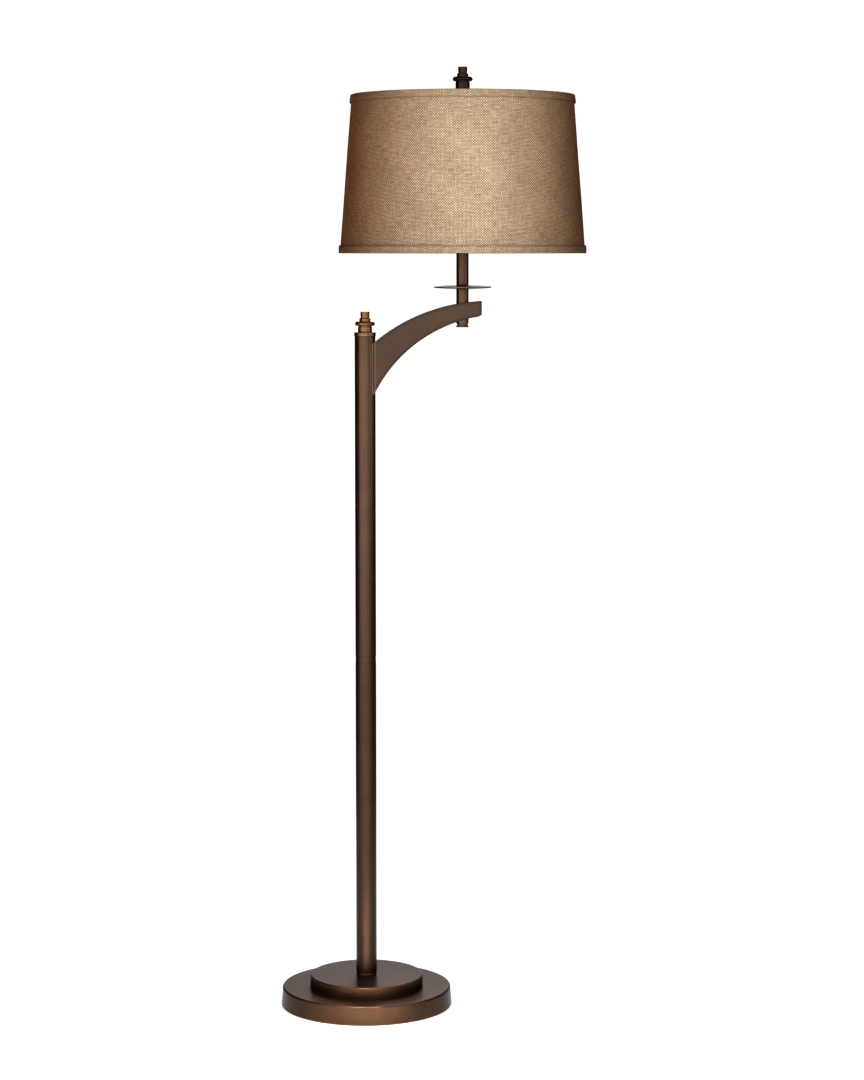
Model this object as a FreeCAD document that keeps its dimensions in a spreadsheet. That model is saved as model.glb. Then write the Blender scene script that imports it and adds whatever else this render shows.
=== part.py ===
import FreeCAD, Part
import math
import os
import Sketcher

# Bridge floor lamp.  Millimetres, +Z up, origin at the centre of the base on the floor.
# The arm reaches towards +X, and the front of the lamp faces -Y.

Vector = FreeCAD.Vector

SIZES = [
    # base
    ("base_radius", 139.7, "foot of the base shell"),
    ("base_top_radius", 137.7, "top edge of the base shell"),
    ("base_height", 31.3, "floor to the top of the base shell"),
    ("base_wall", 2.0, "spun steel of the base shell"),
    ("base_edge_round", 2.6, "outer round of the shell's top edge"),
    ("rim_lift", 1.0, "floor to the shell's rim"),
    ("felt_thickness", 2.0, "felt pad"),
    ("weight_radius", 133.5, "cast weight and felt"),
    ("weight_web", 12.0, "thickness of the weight's web"),
    ("weight_rim_width", 24.0, "width of the weight's rim"),
    ("cord_channel_width", 18.0, "slot through the weight's rim"),
    ("step_radius", 92.2, "small cover disc"),
    ("step_height", 18.5, "height of the small disc"),
    ("step_wall", 2.0, "spun steel of the small disc"),
    ("step_edge_round", 2.2, "outer round of the small disc's top edge"),
    ("spacer_radius", 15.0, "spacer tube under the small disc"),
    # threaded tube and its fasteners
    ("pipe_radius", 4.9, "threaded lamp pipe, outside"),
    ("pipe_bore_radius", 3.3, "threaded lamp pipe, bore"),
    ("pipe_clearance", 0.15, "radial gap round the lamp pipe"),
    ("base_nut_flats", 17.0, "hex nut across flats"),
    ("base_nut_height", 6.0, "hex nut height"),
    ("base_washer_radius", 15.0, "washer under the weight"),
    ("base_washer_thickness", 2.0, "washer under the weight"),
    ("nipple_tail", 1.2, "nipple below the hex nut"),
    ("seat_gap", 0.1, "gap between fixed curved pieces"),
    # cord bushing at the back of the base
    ("bushing_height", 9.5, "floor to the bushing's axis"),
    ("bushing_bore_radius", 3.5, "bushing's bore"),
    ("bushing_body_radius", 5.2, "bushing's body"),
    ("bushing_flange_radius", 7.5, "bushing's flange"),
    ("bushing_flange_thickness", 2.0, "bushing's flange"),
    ("bushing_barb_radius", 6.0, "bushing's barb behind the wall"),
    ("bushing_grip", 4.2, "flange to barb"),
    ("bushing_length", 10.0, "bushing's body behind the flange"),
    # pole
    ("pole_radius", 16.65, "both pole tubes"),
    ("pole_wall", 1.5, "both pole tubes"),
    ("foot_ring_height", 4.0, "ring at the foot of the pole"),
    ("foot_ring_inset", 0.9, "step in from the tube to the ring's groove"),
    ("foot_bead_height", 2.2, "bead at the bottom of the ring"),
    ("foot_bead_round", 1.5, "curve of the bead"),
    ("foot_plug_height", 14.0, "threaded plug in the lower tube"),
    ("lower_pole_length", 515.2, "lower tube"),
    ("coupler_height", 9.0, "visible collar between the tubes"),
    ("coupler_inset", 0.35, "collar's step in from the tubes"),
    ("coupler_spigot_length", 26.0, "spigots inside the tubes"),
    ("coupler_bore_radius", 10.0, "wire way through the coupler"),
    ("upper_pole_length", 518.4, "upper tube"),
    ("cap_radius", 17.3, "pole cap"),
    ("cap_height", 6.6, "pole cap"),
    ("cap_edge_round", 1.2, "top edge of the pole cap"),
    ("cap_foot_round", 0.7, "bottom edge of the pole cap"),
    ("cap_spigot_length", 10.0, "spigot of the cap inside the tube"),
    ("stud_radius", 3.1, "finial studs, thread outside"),
    ("stud_clearance", 0.3, "radial gap round a finial stud"),
    ("pole_stud_length", 20.0, "stud under the pole finial"),
    # finials
    ("finial_neck_radius", 11.25, "neck"),
    ("finial_ledge_round", 0.8, "round of the ledge at the top of the neck"),
    ("finial_ledge_drop", 1.4, "flange to ledge"),
    ("finial_flange_radius", 15.9, "round flange"),
    ("finial_flange_height", 6.6, "round flange"),
    ("finial_flange_round", 1.8, "how far the flange's edge swells"),
    ("finial_collar_radius", 8.8, "collar"),
    ("finial_collar_height", 5.6, "collar"),
    ("finial_collar_round", 1.3, "collar's shoulder"),
    ("finial_stub_height", 10.2, "stub"),
    ("finial_stub_radius", 6.85, "stub's waist"),
    ("finial_lip_radius", 7.2, "stub's lip"),
    ("finial_lip_height", 1.8, "stub's lip"),
    ("pole_finial_neck", 10.3, "neck of the pole finial"),
    ("shade_finial_neck", 26.95, "neck of the shade finial"),
    ("finial_bore_depth", 14.0, "threaded bore of the shade finial"),
    # bridge arm
    ("reach", 156.5, "pole axis to post axis"),
    ("arm_width", 20.0, "arm across its flat sides"),
    ("arm_wall", 2.0, "arm's plates"),
    ("arm_top_radius", 285.8, "arc of the arm's top"),
    ("arm_top_centre_x", 198.4, "centre of the top arc"),
    ("arm_top_centre_drop", 229.0, "top of the tube to the centre of the top arc"),
    ("arm_bottom_radius", 228.7, "arc of the arm's underside"),
    ("arm_bottom_centre_x", 220.3, "centre of the underside's arc"),
    ("arm_bottom_centre_drop", 193.8, "top of the tube to the centre of the underside's arc"),
    ("arm_overhang", 31.0, "post axis to the arm's end"),
    ("arm_nose_length", 4.6, "cut corner under the end, along the arm"),
    ("arm_nose_height", 2.7, "cut corner under the end, upwards"),
    ("arm_root_inset", 4.6, "how far the arcs run in past the pole's skin"),
    ("weld_on_arm", 1.2, "weld bead along the arm's flat side"),
    ("weld_on_pole", 2.4, "weld bead round the pole"),
    ("weld_round", 2.5, "curve of the weld bead"),
    ("wire_hole_radius", 5.5, "hole from the pole into the arm"),
    ("wire_hole_drop", 53.8, "top of the tube to the wire hole"),
    # post
    ("sleeve_radius", 9.75, "post sleeves"),
    ("sleeve_wall", 1.2, "post sleeves"),
    ("lower_sleeve_length", 21.65, "arm to disc, on the axis"),
    ("disc_radius", 46.5, "drip disc"),
    ("disc_hub_radius", 10.95, "flat hub of the drip disc"),
    ("disc_height", 6.6, "drip disc at its hub"),
    ("disc_edge", 2.2, "drip disc at its rim"),
    ("upper_sleeve_length", 76.7, "disc to check ring"),
    ("check_ring_radius", 11.0, "ring under the harp saddle"),
    ("check_ring_height", 2.0, "ring under the harp saddle"),
    ("check_ring_round", 0.5, "top edge of the check ring"),
    ("collar_length", 5.7, "collar below the arm, on the axis"),
    ("nut_neck_height", 2.4, "groove above the knurled nut"),
    ("nut_neck_inset", 1.5, "groove above the knurled nut"),
    ("nut_height", 3.1, "knurled nut"),
    ("knurl_radius", 0.45, "flutes of the knurled nut"),
    ("pipe_end_inset", 0.8, "pipe's end inside the knurled nut"),
    ("pipe_slot_width", 4.6, "wire slot in the pipe, inside the arm"),
    ("pipe_slot_height", 12.0, "wire slot in the pipe, inside the arm"),
    # harp
    ("harp_height", 216.0, "saddle's underside to the shade's washer"),
    ("harp_wire_radius", 1.6, "harp wire"),
    ("saddle_thickness", 1.6, "strip of the saddle"),
    ("saddle_width", 12.7, "strip of the saddle"),
    ("harp_foot_x", 24.0, "post axis to a leg of the harp"),
    ("ear_width", 5.0, "ear of the saddle"),
    ("ear_height", 13.0, "ear of the saddle"),
    ("ear_gap", 0.3, "harp wire to ear"),
    ("harp_sleeve_radius", 4.9, "locking sleeve"),
    ("harp_sleeve_bore", 3.9, "locking sleeve"),
    ("harp_sleeve_height", 12.0, "locking sleeve"),
    ("slide_gap", 0.3, "gap under pieces that lift off"),
    ("harp_knee_height", 46.0, "bend above the legs"),
    ("harp_half_width", 57.0, "post axis to the harp's straight side"),
    ("harp_hip_height", 92.0, "lower bend of the straight side"),
    ("harp_shoulder_height", 158.0, "upper bend of the straight side"),
    ("harp_crown_x", 30.0, "bend beside the stud"),
    ("harp_knee_bend", 25.0, "bend radius"),
    ("harp_hip_bend", 40.0, "bend radius"),
    ("harp_shoulder_bend", 45.0, "bend radius"),
    ("harp_crown_bend", 22.0, "bend radius"),
    ("eye_radius", 6.5, "eye at the top of the harp"),
    ("rivet_radius", 2.5, "shank of the harp stud"),
    ("rivet_head_radius", 4.2, "rivet head of the harp stud"),
    ("rivet_head_height", 1.5, "rivet head of the harp stud"),
    ("stud_flange_radius", 8.0, "seat for the shade's washer"),
    ("stud_flange_height", 3.8, "seat for the shade's washer"),
    ("stud_thread_length", 13.0, "thread above the seat"),
    ("stud_tip_bevel", 0.8, "bevel at the end of the thread"),
    # socket, heights from the top of the saddle
    ("socket_cap_radius", 17.0, "brass cap"),
    ("socket_cap_height", 20.0, "brass cap"),
    ("socket_cap_neck_radius", 8.0, "neck on the pipe"),
    ("socket_cap_neck_height", 5.0, "neck on the pipe"),
    ("socket_cap_shoulder", 14.0, "where the cap is full width"),
    ("socket_wall", 0.8, "socket sheet metal"),
    ("socket_shell_foot", 15.2, "bottom of the shell inside the cap"),
    ("socket_shell_top", 62.0, "top of the shell"),
    ("socket_bead_height", 25.0, "bead round the shell"),
    ("socket_bead_radius", 1.0, "bead round the shell"),
    ("liner_wall", 0.8, "insulating liner"),
    ("switch_body_radius", 13.9, "switch body"),
    ("switch_body_foot", 16.0, "bottom of the switch body"),
    ("switch_body_top", 38.0, "top of the switch body"),
    ("screw_shell_radius", 13.9, "screw shell, outside"),
    ("screw_shell_wall", 0.5, "screw shell"),
    ("screw_shell_top", 60.0, "top of the screw shell"),
    ("contact_radius", 3.6, "centre contact"),
    ("contact_height", 1.2, "centre contact"),
    ("pipe_into_socket", 9.0, "pipe inside the socket"),
    # turn knob
    ("knob_height", 31.5, "axis of the knob above the saddle"),
    ("stem_radius", 2.2, "knob's stem"),
    ("stem_clearance", 0.08, "running gap of the stem"),
    ("stem_hole_radius", 3.4, "hole in shell and liner"),
    ("stem_start", 6.0, "socket axis to the inner end of the stem"),
    ("knob_start", 25.0, "socket axis to the knob's inner face"),
    ("knob_length", 13.0, "knob"),
    ("knob_root_radius", 5.4, "knob at its inner face"),
    ("knob_tip_radius", 6.8, "knob at its tip"),
    ("knob_tip_round", 1.6, "knob at its tip"),
    ("knob_flute_radius", 0.7, "flutes of the knob"),
    ("knob_flute_depth", 0.47, "flutes of the knob at its tip"),
    # bulb
    ("bulb_length", 105.0, "contact tip to the top of the glass"),
    ("bulb_radius", 30.0, "glass"),
    ("bulb_wall", 0.9, "glass"),
    ("bulb_cap_radius", 13.0, "screw cap"),
    ("bulb_cap_height", 24.0, "screw cap"),
    ("bulb_cap_shoulder", 3.25, "slope of the cap above its tip"),
    ("bulb_tip_radius", 4.5, "contact tip"),
    ("bulb_tip_height", 1.2, "contact tip"),
    ("bulb_seat_gap", 0.2, "tip to centre contact"),
    ("bulb_neck_radius", 15.6, "glass just above the cap"),
    ("bulb_neck_height", 14.0, "cap to the neck's bend"),
    ("bulb_meet_radius", 24.57, "where the neck meets the globe"),
    ("bulb_neck_bend", 70.0, "hollow curve of the neck"),
    # shade
    ("shade_top_radius", 178.9, "top edge, over the trim"),
    ("shade_bottom_radius", 198.4, "bottom edge, over the trim"),
    ("shade_height", 250.4, "edge to edge"),
    ("spider_drop", 4.75, "top edge to the top of the washer"),
    ("fabric_thickness", 0.9, "burlap cover"),
    ("liner_thickness", 0.6, "stiff liner"),
    ("trim_thickness", 1.9, "folded trim outside the cover"),
    ("trim_height", 12.6, "trim outside"),
    ("trim_turn_in", 4.0, "trim inside"),
    ("trim_lip", 0.9, "trim over the edge and inside"),
    ("ring_wire_radius", 1.6, "ring wires"),
    ("spoke_radius", 1.6, "spokes of the spider"),
    ("spoke_start", 12.6, "inner end of a spoke"),
    ("washer_radius", 15.0, "washer of the spider"),
    ("washer_thickness", 1.6, "washer of the spider"),
    ("turn_gap", 0.1, "shade finial to washer"),
]

SPOKES = 3
# degrees from the arm's direction to the first spoke
FIRST_SPOKE = "90"
NUT_FLUTES = 24
KNOB_FLUTES = 18
# a cut both ways from a sketch, this many times a piece's own size, passes all the way through it
PAST_ALL = 3
# radius over half a chord, for an arc that stays just under a half circle
NEARLY_HALF = 1.001

doc = FreeCAD.newDocument("BridgeFloorLamp")
sheet = doc.addObject("Spreadsheet::Sheet", "Sizes")
pieces = []


class Size:
    """A length: its value now, and the expression on the sheet that drives it."""

    def __init__(self, value, text):
        self.value = float(value)
        self.text = text

    def join(self, other, sign, value):
        return Size(value, f"({self.text} {sign} {other.text})")

    def __add__(self, other):
        other = as_size(other)
        return self.join(other, "+", self.value + other.value)

    def __sub__(self, other):
        other = as_size(other)
        return self.join(other, "-", self.value - other.value)

    def __mul__(self, other):
        other = as_size(other)
        return self.join(other, "*", self.value * other.value)

    def __truediv__(self, other):
        other = as_size(other)
        return self.join(other, "/", self.value / other.value)

    def __neg__(self):
        return Size(-self.value, f"(0 - {self.text})")


def as_size(amount):
    if isinstance(amount, Size):
        return amount
    return Size(amount, f"{float(amount):.6f}")


def root(amount):
    return Size(math.sqrt(amount.value), f"sqrt({amount.text})")


def fill_sheet():
    for row, (alias, value, note) in enumerate(SIZES, start=1):
        sheet.set(f"A{row}", alias)
        sheet.set(f"B{row}", str(value))
        sheet.set(f"C{row}", note)
        sheet.setAlias(f"B{row}", alias)
    doc.recompute()


def size(alias):
    return Size(sheet.get(alias), f"Sizes.{alias}")


# ---------------------------------------------------------------- building blocks


def new_body(label):
    body = doc.addObject("PartDesign::Body", label)
    body.Label = label
    pieces.append(body)
    return body


def origin_item(body, role):
    """One of the body's own origin planes or axes."""
    return next(item for item in body.Origin.OriginFeatures if item.Role == role)


def new_sketch(body, name, role="XZ_Plane"):
    sketch = body.newObject("Sketcher::SketchObject", f"{body.Name}_{name}")
    sketch.AttachmentSupport = (origin_item(body, role), [""])
    sketch.MapMode = "FlatFace"
    return sketch


def drive(sketch, constraint, amount):
    """Add a dimension to a sketch and tie it to the sheet."""
    index = sketch.addConstraint(constraint)
    sketch.setExpression(f"Constraints[{index}]", amount.text)


def pin(sketch, geometry, point, x, y):
    """Hold one point of a sketch at a driven place."""
    drive(sketch, Sketcher.Constraint("DistanceX", -1, 1, geometry, point, x.value), x)
    drive(sketch, Sketcher.Constraint("DistanceY", -1, 1, geometry, point, y.value), y)


def arc_through(start, end, radius):
    """Arc shorter than a half circle; a positive radius turns left on the way from start to end."""
    chord = end - start
    middle = (start + end) * 0.5
    left = Vector(-chord.y, chord.x, 0).normalize()
    offset = math.sqrt(max(radius * radius - chord.Length * chord.Length / 4, 0.0))
    centre = middle + left * math.copysign(offset, radius)
    first, last = (start, end) if radius > 0 else (end, start)
    angles = [math.atan2(point.y - centre.y, point.x - centre.x) for point in (first, last)]
    circle = Part.Circle(centre, Vector(0, 0, 1), abs(radius))
    return Part.ArcOfCircle(circle, angles[0], angles[1])


def outline(sketch, corners):
    """A closed outline.  A corner is (x, y), or (x, y, radius) where an arc leads to it."""
    places = [(as_size(corner[0]), as_size(corner[1])) for corner in corners]
    ends = []
    for index, corner in enumerate(corners):
        before = places[index - 1]
        start = Vector(before[0].value, before[1].value, 0)
        end = Vector(places[index][0].value, places[index][1].value, 0)
        if len(corner) == 3:
            geometry = sketch.addGeometry(arc_through(start, end, corner[2].value))
            turns_left = corner[2].value > 0
            ends.append((geometry, 1, 2) if turns_left else (geometry, 2, 1))
            arc_radius = corner[2] if turns_left else -corner[2]
            drive(sketch, Sketcher.Constraint("Radius", geometry, arc_radius.value), arc_radius)
        else:
            geometry = sketch.addGeometry(Part.LineSegment(start, end))
            ends.append((geometry, 1, 2))
    for index, (geometry, first, last) in enumerate(ends):
        after, after_first, _ = ends[(index + 1) % len(ends)]
        sketch.addConstraint(Sketcher.Constraint("Coincident", geometry, last, after, after_first))
        pin(sketch, geometry, last, *places[index])


def circle(sketch, x, y, radius):
    x, y = as_size(x), as_size(y)
    shape = Part.Circle(Vector(x.value, y.value, 0), Vector(0, 0, 1), radius.value)
    geometry = sketch.addGeometry(shape)
    pin(sketch, geometry, 3, x, y)
    drive(sketch, Sketcher.Constraint("Radius", geometry, radius.value), radius)


def polyline_with_bends(sketch, corners, bends):
    """An open path of straight runs, rounded at each inner corner by a driven bend radius."""
    places = [Vector(x.value, y.value, 0) for x, y in corners]
    runs = []
    for index in range(len(places) - 1):
        runs.append([places[index], places[index + 1]])
    arcs = []
    for index, bend in enumerate(bends):
        corner = places[index + 1]
        back = (places[index] - corner).normalize()
        ahead = (places[index + 2] - corner).normalize()
        half_angle = math.acos(max(-1.0, min(1.0, back.dot(ahead)))) / 2
        setback = bend.value / math.tan(half_angle)
        start = corner + back * setback
        end = corner + ahead * setback
        turns_left = (-back).cross(ahead).z > 0
        arcs.append((arc_through(start, end, bend.value if turns_left else -bend.value), turns_left))
        runs[index][1] = start
        runs[index + 1][0] = end
    lines = [sketch.addGeometry(Part.LineSegment(run[0], run[1])) for run in runs]
    for index, (x, y) in enumerate(corners[1:-1]):
        point = sketch.addGeometry(Part.Point(places[index + 1]), True)
        pin(sketch, point, 1, x, y)
        sketch.addConstraint(Sketcher.Constraint("PointOnObject", point, 1, lines[index]))
        sketch.addConstraint(Sketcher.Constraint("PointOnObject", point, 1, lines[index + 1]))
        arc, turns_left = arcs[index]
        geometry = sketch.addGeometry(arc)
        first, last = (1, 2) if turns_left else (2, 1)
        sketch.addConstraint(Sketcher.Constraint("Tangent", lines[index], 2, geometry, first))
        sketch.addConstraint(Sketcher.Constraint("Tangent", geometry, last, lines[index + 1], 1))
        drive(sketch, Sketcher.Constraint("Radius", geometry, bends[index].value), bends[index])
    pin(sketch, lines[0], 1, *corners[0])
    pin(sketch, lines[-1], 2, *corners[-1])


def revolve(body, sketch, kind="PartDesign::Revolution"):
    feature = body.newObject(kind, f"{sketch.Name}_turn")
    feature.Profile = sketch
    feature.ReferenceAxis = (sketch, ["V_Axis"])
    feature.Angle = 360
    return feature


def pad(body, sketch, length, middle=False, backwards=False):
    feature = body.newObject("PartDesign::Pad", f"{sketch.Name}_pad")
    feature.Profile = sketch
    feature.SideType = "Symmetric" if middle else "One side"
    feature.Reversed = backwards
    feature.setExpression("Length", length.text)
    return feature


def pocket(body, sketch, length, middle=False, backwards=False):
    """Cut a sketch out of a body, and check that the cut really takes something away."""
    doc.recompute()
    before = body.Shape.Volume
    feature = body.newObject("PartDesign::Pocket", f"{sketch.Name}_cut")
    feature.Profile = sketch
    feature.SideType = "Symmetric" if middle else "One side"
    feature.Reversed = backwards
    feature.setExpression("Length", length.text)
    doc.recompute()
    if body.Shape.Volume >= before:
        raise RuntimeError(f"{feature.Name} cuts nothing")
    return feature


def around(body, feature, count, role="Z_Axis"):
    """Repeat a feature evenly round one of the body's axes."""
    pattern = body.newObject("PartDesign::PolarPattern", f"{feature.Name}_pattern")
    pattern.Originals = [feature]
    pattern.Axis = (origin_item(body, role), [""])
    pattern.Angle = 360
    pattern.Occurrences = count
    body.Tip = pattern
    return pattern


def place(body, x=0, y=0, z=0):
    """Put a piece at its driven seat."""
    for axis, amount in (("x", x), ("y", y), ("z", z)):
        body.setExpression(f"Placement.Base.{axis}", as_size(amount).text)


def turned(label, corners, x=0, z=0):
    """A turned piece: its half section, in its own frame, spun round its own vertical axis."""
    body = new_body(label)
    sketch = new_sketch(body, "section")
    outline(sketch, corners)
    revolve(body, sketch)
    place(body, x=x, z=z)
    return body


def tube(label, outer, inner, length, x=0, z=0):
    corners = [(inner, 0), (outer, 0), (outer, length), (inner, length)]
    return turned(label, corners, x=x, z=z)


fill_sheet()

# ---------------------------------------------------------------- places shared by the pieces

reach = size("reach")
seat_gap = size("seat_gap")
pole_radius = size("pole_radius")
pole_bore = pole_radius - size("pole_wall")
pipe_radius = size("pipe_radius")
pipe_hole = pipe_radius + size("pipe_clearance")
sleeve_radius = size("sleeve_radius")
sleeve_bore = sleeve_radius - size("sleeve_wall")

base_top = size("base_height")
base_inner_top = base_top - size("base_wall")
web_bottom = base_inner_top - size("weight_web")
step_top = base_top + size("step_height")
foot_ring_top = step_top + size("foot_ring_height")
lower_pole_top = foot_ring_top + size("lower_pole_length")
upper_pole_bottom = lower_pole_top + size("coupler_height")
pole_top = upper_pole_bottom + size("upper_pole_length")
cap_top = pole_top + size("cap_height")

arm_end = reach + size("arm_overhang")
arm_root = pole_radius - size("arm_root_inset")
top_centre_x = size("arm_top_centre_x")
top_centre_z = pole_top - size("arm_top_centre_drop")
top_arc = size("arm_top_radius")
bottom_centre_x = size("arm_bottom_centre_x")
bottom_centre_z = pole_top - size("arm_bottom_centre_drop")
bottom_arc = size("arm_bottom_radius")


def height_on_arc(centre_x, centre_z, radius, x):
    """Height of the upper half of a circle at a given x."""
    across = x - centre_x
    return centre_z + root(radius * radius - across * across)


arm_top_at_post = height_on_arc(top_centre_x, top_centre_z, top_arc, reach)
arm_bottom_at_post = height_on_arc(bottom_centre_x, bottom_centre_z, bottom_arc, reach)
disc_bottom = arm_top_at_post + size("lower_sleeve_length")
disc_top = disc_bottom + size("disc_height")
check_ring_bottom = disc_top + size("upper_sleeve_length")
saddle_bottom = check_ring_bottom + size("check_ring_height")
saddle_top = saddle_bottom + size("saddle_thickness")
nut_top = arm_bottom_at_post - size("collar_length")
nut_bottom = nut_top - size("nut_neck_height") - size("nut_height")
pipe_bottom = nut_bottom + size("pipe_end_inset")
pipe_top = saddle_top + size("pipe_into_socket")
washer_bottom = saddle_bottom + size("harp_height")
washer_top = washer_bottom + size("washer_thickness")
shade_top = washer_top + size("spider_drop")
shade_bottom = shade_top - size("shade_height")


# ---------------------------------------------------------------- base


def make_base_felt():
    radius, thickness = size("weight_radius"), size("felt_thickness")
    turned("base_felt", [(0, 0), (radius, 0), (radius, thickness), (0, thickness)])


def make_base_shell():
    """Spun pan with a tapered side and a rounded top edge, open below."""
    foot, top, wall = size("base_radius"), size("base_top_radius"), size("base_wall")
    edge, rim = size("base_edge_round"), size("rim_lift")
    inner_edge = edge - wall
    body = turned("base_shell", [
        (pipe_hole, base_inner_top),
        (top - edge, base_inner_top),
        (top - wall, base_top - edge, -inner_edge),
        (foot - wall, rim),
        (foot, rim),
        (top, base_top - edge),
        (top - edge, base_top, edge),
        (pipe_hole, base_top),
    ])
    hole = new_sketch(body, "cord_hole")
    circle(hole, 0, size("bushing_height"), size("bushing_body_radius") + seat_gap)
    pocket(body, hole, foot + wall)


def make_base_weight():
    """Cast weight: a web against the shell's top, and a rim that stands on the felt."""
    outer = size("weight_radius")
    rim_inner = outer - size("weight_rim_width")
    felt = size("felt_thickness")
    edge = size("base_edge_round")
    body = turned("base_weight", [
        (pipe_hole, web_bottom),
        (rim_inner, web_bottom),
        (rim_inner, felt),
        (outer, felt),
        (outer, base_inner_top - edge),
        (outer - edge, base_inner_top),
        (pipe_hole, base_inner_top),
    ])
    channel = new_sketch(body, "cord_channel")
    half = size("cord_channel_width") / 2
    outline(channel, [(-half, felt), (half, felt), (half, web_bottom), (-half, web_bottom)])
    pocket(body, channel, outer + felt)


def make_base_step():
    """Small spun cover on top of the shell."""
    outer, wall, edge = size("step_radius"), size("step_wall"), size("step_edge_round")
    height = size("step_height")
    inner_edge = edge - wall
    turned("base_step", [
        (pipe_hole, height - wall),
        (outer - edge, height - wall),
        (outer - wall, height - edge, -inner_edge),
        (outer - wall, 0),
        (outer, 0),
        (outer, height - edge),
        (outer - edge, height, edge),
        (pipe_hole, height),
    ], z=base_top)


def make_base_fasteners():
    step_inside = size("step_height") - size("step_wall")
    tube("step_spacer", size("spacer_radius"), pipe_hole, step_inside, z=base_top)
    washer_z = web_bottom - size("base_washer_thickness")
    washer = size("base_washer_radius")
    tube("base_washer", washer, pipe_hole, size("base_washer_thickness"), z=washer_z)
    nut_z = washer_z - size("base_nut_height")
    make_hex_nut("base_nut", size("base_nut_flats"), size("base_nut_height"), nut_z)
    nipple_bottom = nut_z - size("nipple_tail")
    nipple_length = foot_ring_top + size("foot_plug_height") - nipple_bottom
    tube("base_nipple", pipe_radius, size("pipe_bore_radius"), nipple_length, z=nipple_bottom)


def make_hex_nut(label, flats, height, z):
    body = new_body(label)
    sketch = new_sketch(body, "hexagon", "XY_Plane")
    corner = flats / math.sqrt(3)
    half = flats / 2
    outline(sketch, [
        (corner, 0),
        (corner / 2, half),
        (-corner / 2, half),
        (-corner, 0),
        (-corner / 2, -half),
        (corner / 2, -half),
    ])
    pad(body, sketch, height)
    bore = new_sketch(body, "bore", "XY_Plane")
    circle(bore, 0, 0, pipe_hole)
    pocket(body, bore, height * PAST_ALL, middle=True)
    place(body, z=z)


def make_cord_bushing():
    """Snap-in bushing: flange outside the shell, barb behind its wall, bore for the cord."""
    bore, shank = size("bushing_bore_radius"), size("bushing_body_radius")
    flange, thickness = size("bushing_flange_radius"), size("bushing_flange_thickness")
    barb, grip = size("bushing_barb_radius"), size("bushing_grip")
    length = size("bushing_length")
    soft_edge = size("bushing_flange_thickness") / 2
    body = turned("cord_bushing", [
        (bore, -length),
        (shank, -length),
        (barb, -grip),
        (shank, -grip),
        (shank, 0),
        (flange, 0),
        (flange, thickness - soft_edge),
        (flange - soft_edge, thickness, soft_edge),
        (bore, thickness),
    ])
    body.Placement = FreeCAD.Placement(Vector(), FreeCAD.Rotation(Vector(1, 0, 0), -90))
    place(body, y=size("base_radius") + seat_gap, z=size("bushing_height"))


# ---------------------------------------------------------------- pole


def make_pole_foot():
    """Ring with a bead and a groove under the tube, and the threaded plug inside the tube."""
    ring, groove = size("foot_ring_height"), pole_radius - size("foot_ring_inset")
    turned("pole_foot_ring", [
        (pipe_hole, 0),
        (groove, 0),
        (groove, size("foot_bead_height"), size("foot_bead_round")),
        (groove, ring),
        (pipe_hole, ring),
    ], z=step_top)
    plug = size("foot_plug_height")
    tube("pole_foot_plug", pole_bore - seat_gap, pipe_hole, plug, z=foot_ring_top)


def make_pole_tubes():
    tube("lower_pole", pole_radius, pole_bore, size("lower_pole_length"), z=foot_ring_top)
    body = tube("upper_pole", pole_radius, pole_bore, size("upper_pole_length"), z=upper_pole_bottom)
    hole = new_sketch(body, "wire_hole", "YZ_Plane")
    circle(hole, 0, size("upper_pole_length") - size("wire_hole_drop"), size("wire_hole_radius"))
    pocket(body, hole, pole_radius + size("pole_wall"), backwards=True)


def make_pole_coupler():
    """Collar that shows between the tubes, with a spigot up and down into them."""
    collar = pole_radius - size("coupler_inset")
    spigot = pole_bore - seat_gap
    bore, length = size("coupler_bore_radius"), size("coupler_spigot_length")
    height = size("coupler_height")
    lead = size("pole_wall")
    turned("pole_coupler", [
        (bore, -length),
        (spigot - lead, -length),
        (spigot, lead - length),
        (spigot, 0),
        (collar, 0),
        (collar, height),
        (spigot, height),
        (spigot, height + length - lead),
        (spigot - lead, height + length),
        (bore, height + length),
    ], z=lower_pole_top)


def make_pole_cap():
    outer, height = size("cap_radius"), size("cap_height")
    edge, foot = size("cap_edge_round"), size("cap_foot_round")
    spigot, depth = pole_bore - seat_gap, size("cap_spigot_length")
    bore = size("stud_radius") + seat_gap
    turned("pole_cap", [
        (bore, -depth),
        (spigot, -depth),
        (spigot, 0),
        (outer - foot, 0),
        (outer, foot, foot),
        (outer, height - edge),
        (outer - edge, height, edge),
        (bore, height),
    ], z=pole_top)


def finial_section(neck, bore, bore_depth):
    """Half section of a finial: neck with a rounded ledge, swelling flange, collar and stub."""
    neck_radius = size("finial_neck_radius")
    ledge, ledge_round = neck - size("finial_ledge_drop"), size("finial_ledge_round")
    flange = size("finial_flange_radius")
    swell = size("finial_flange_round")
    half_height = size("finial_flange_height") / 2
    edge_radius = (half_height * half_height + swell * swell) / (swell * 2)
    flange_top = neck + size("finial_flange_height")
    collar, shoulder = size("finial_collar_radius"), size("finial_collar_round")
    collar_top = flange_top + size("finial_collar_height")
    stub = size("finial_stub_radius")
    shoulder_x = collar - shoulder
    top = collar_top + size("finial_stub_height")
    lip = size("finial_lip_radius")
    return [
        (bore, 0),
        (neck_radius, 0),
        (neck_radius, ledge - ledge_round),
        (neck_radius - ledge_round, ledge, ledge_round),
        (neck_radius - ledge_round, neck),
        (flange - swell, neck),
        (flange - swell, flange_top, edge_radius),
        (collar, flange_top),
        (collar, collar_top - shoulder),
        (shoulder_x, collar_top, shoulder),
        (stub, collar_top + seat_gap),
        (lip, top - size("finial_lip_height")),
        (lip, top),
        (0, top),
        (0, bore_depth),
        (bore, bore_depth),
    ]


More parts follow.
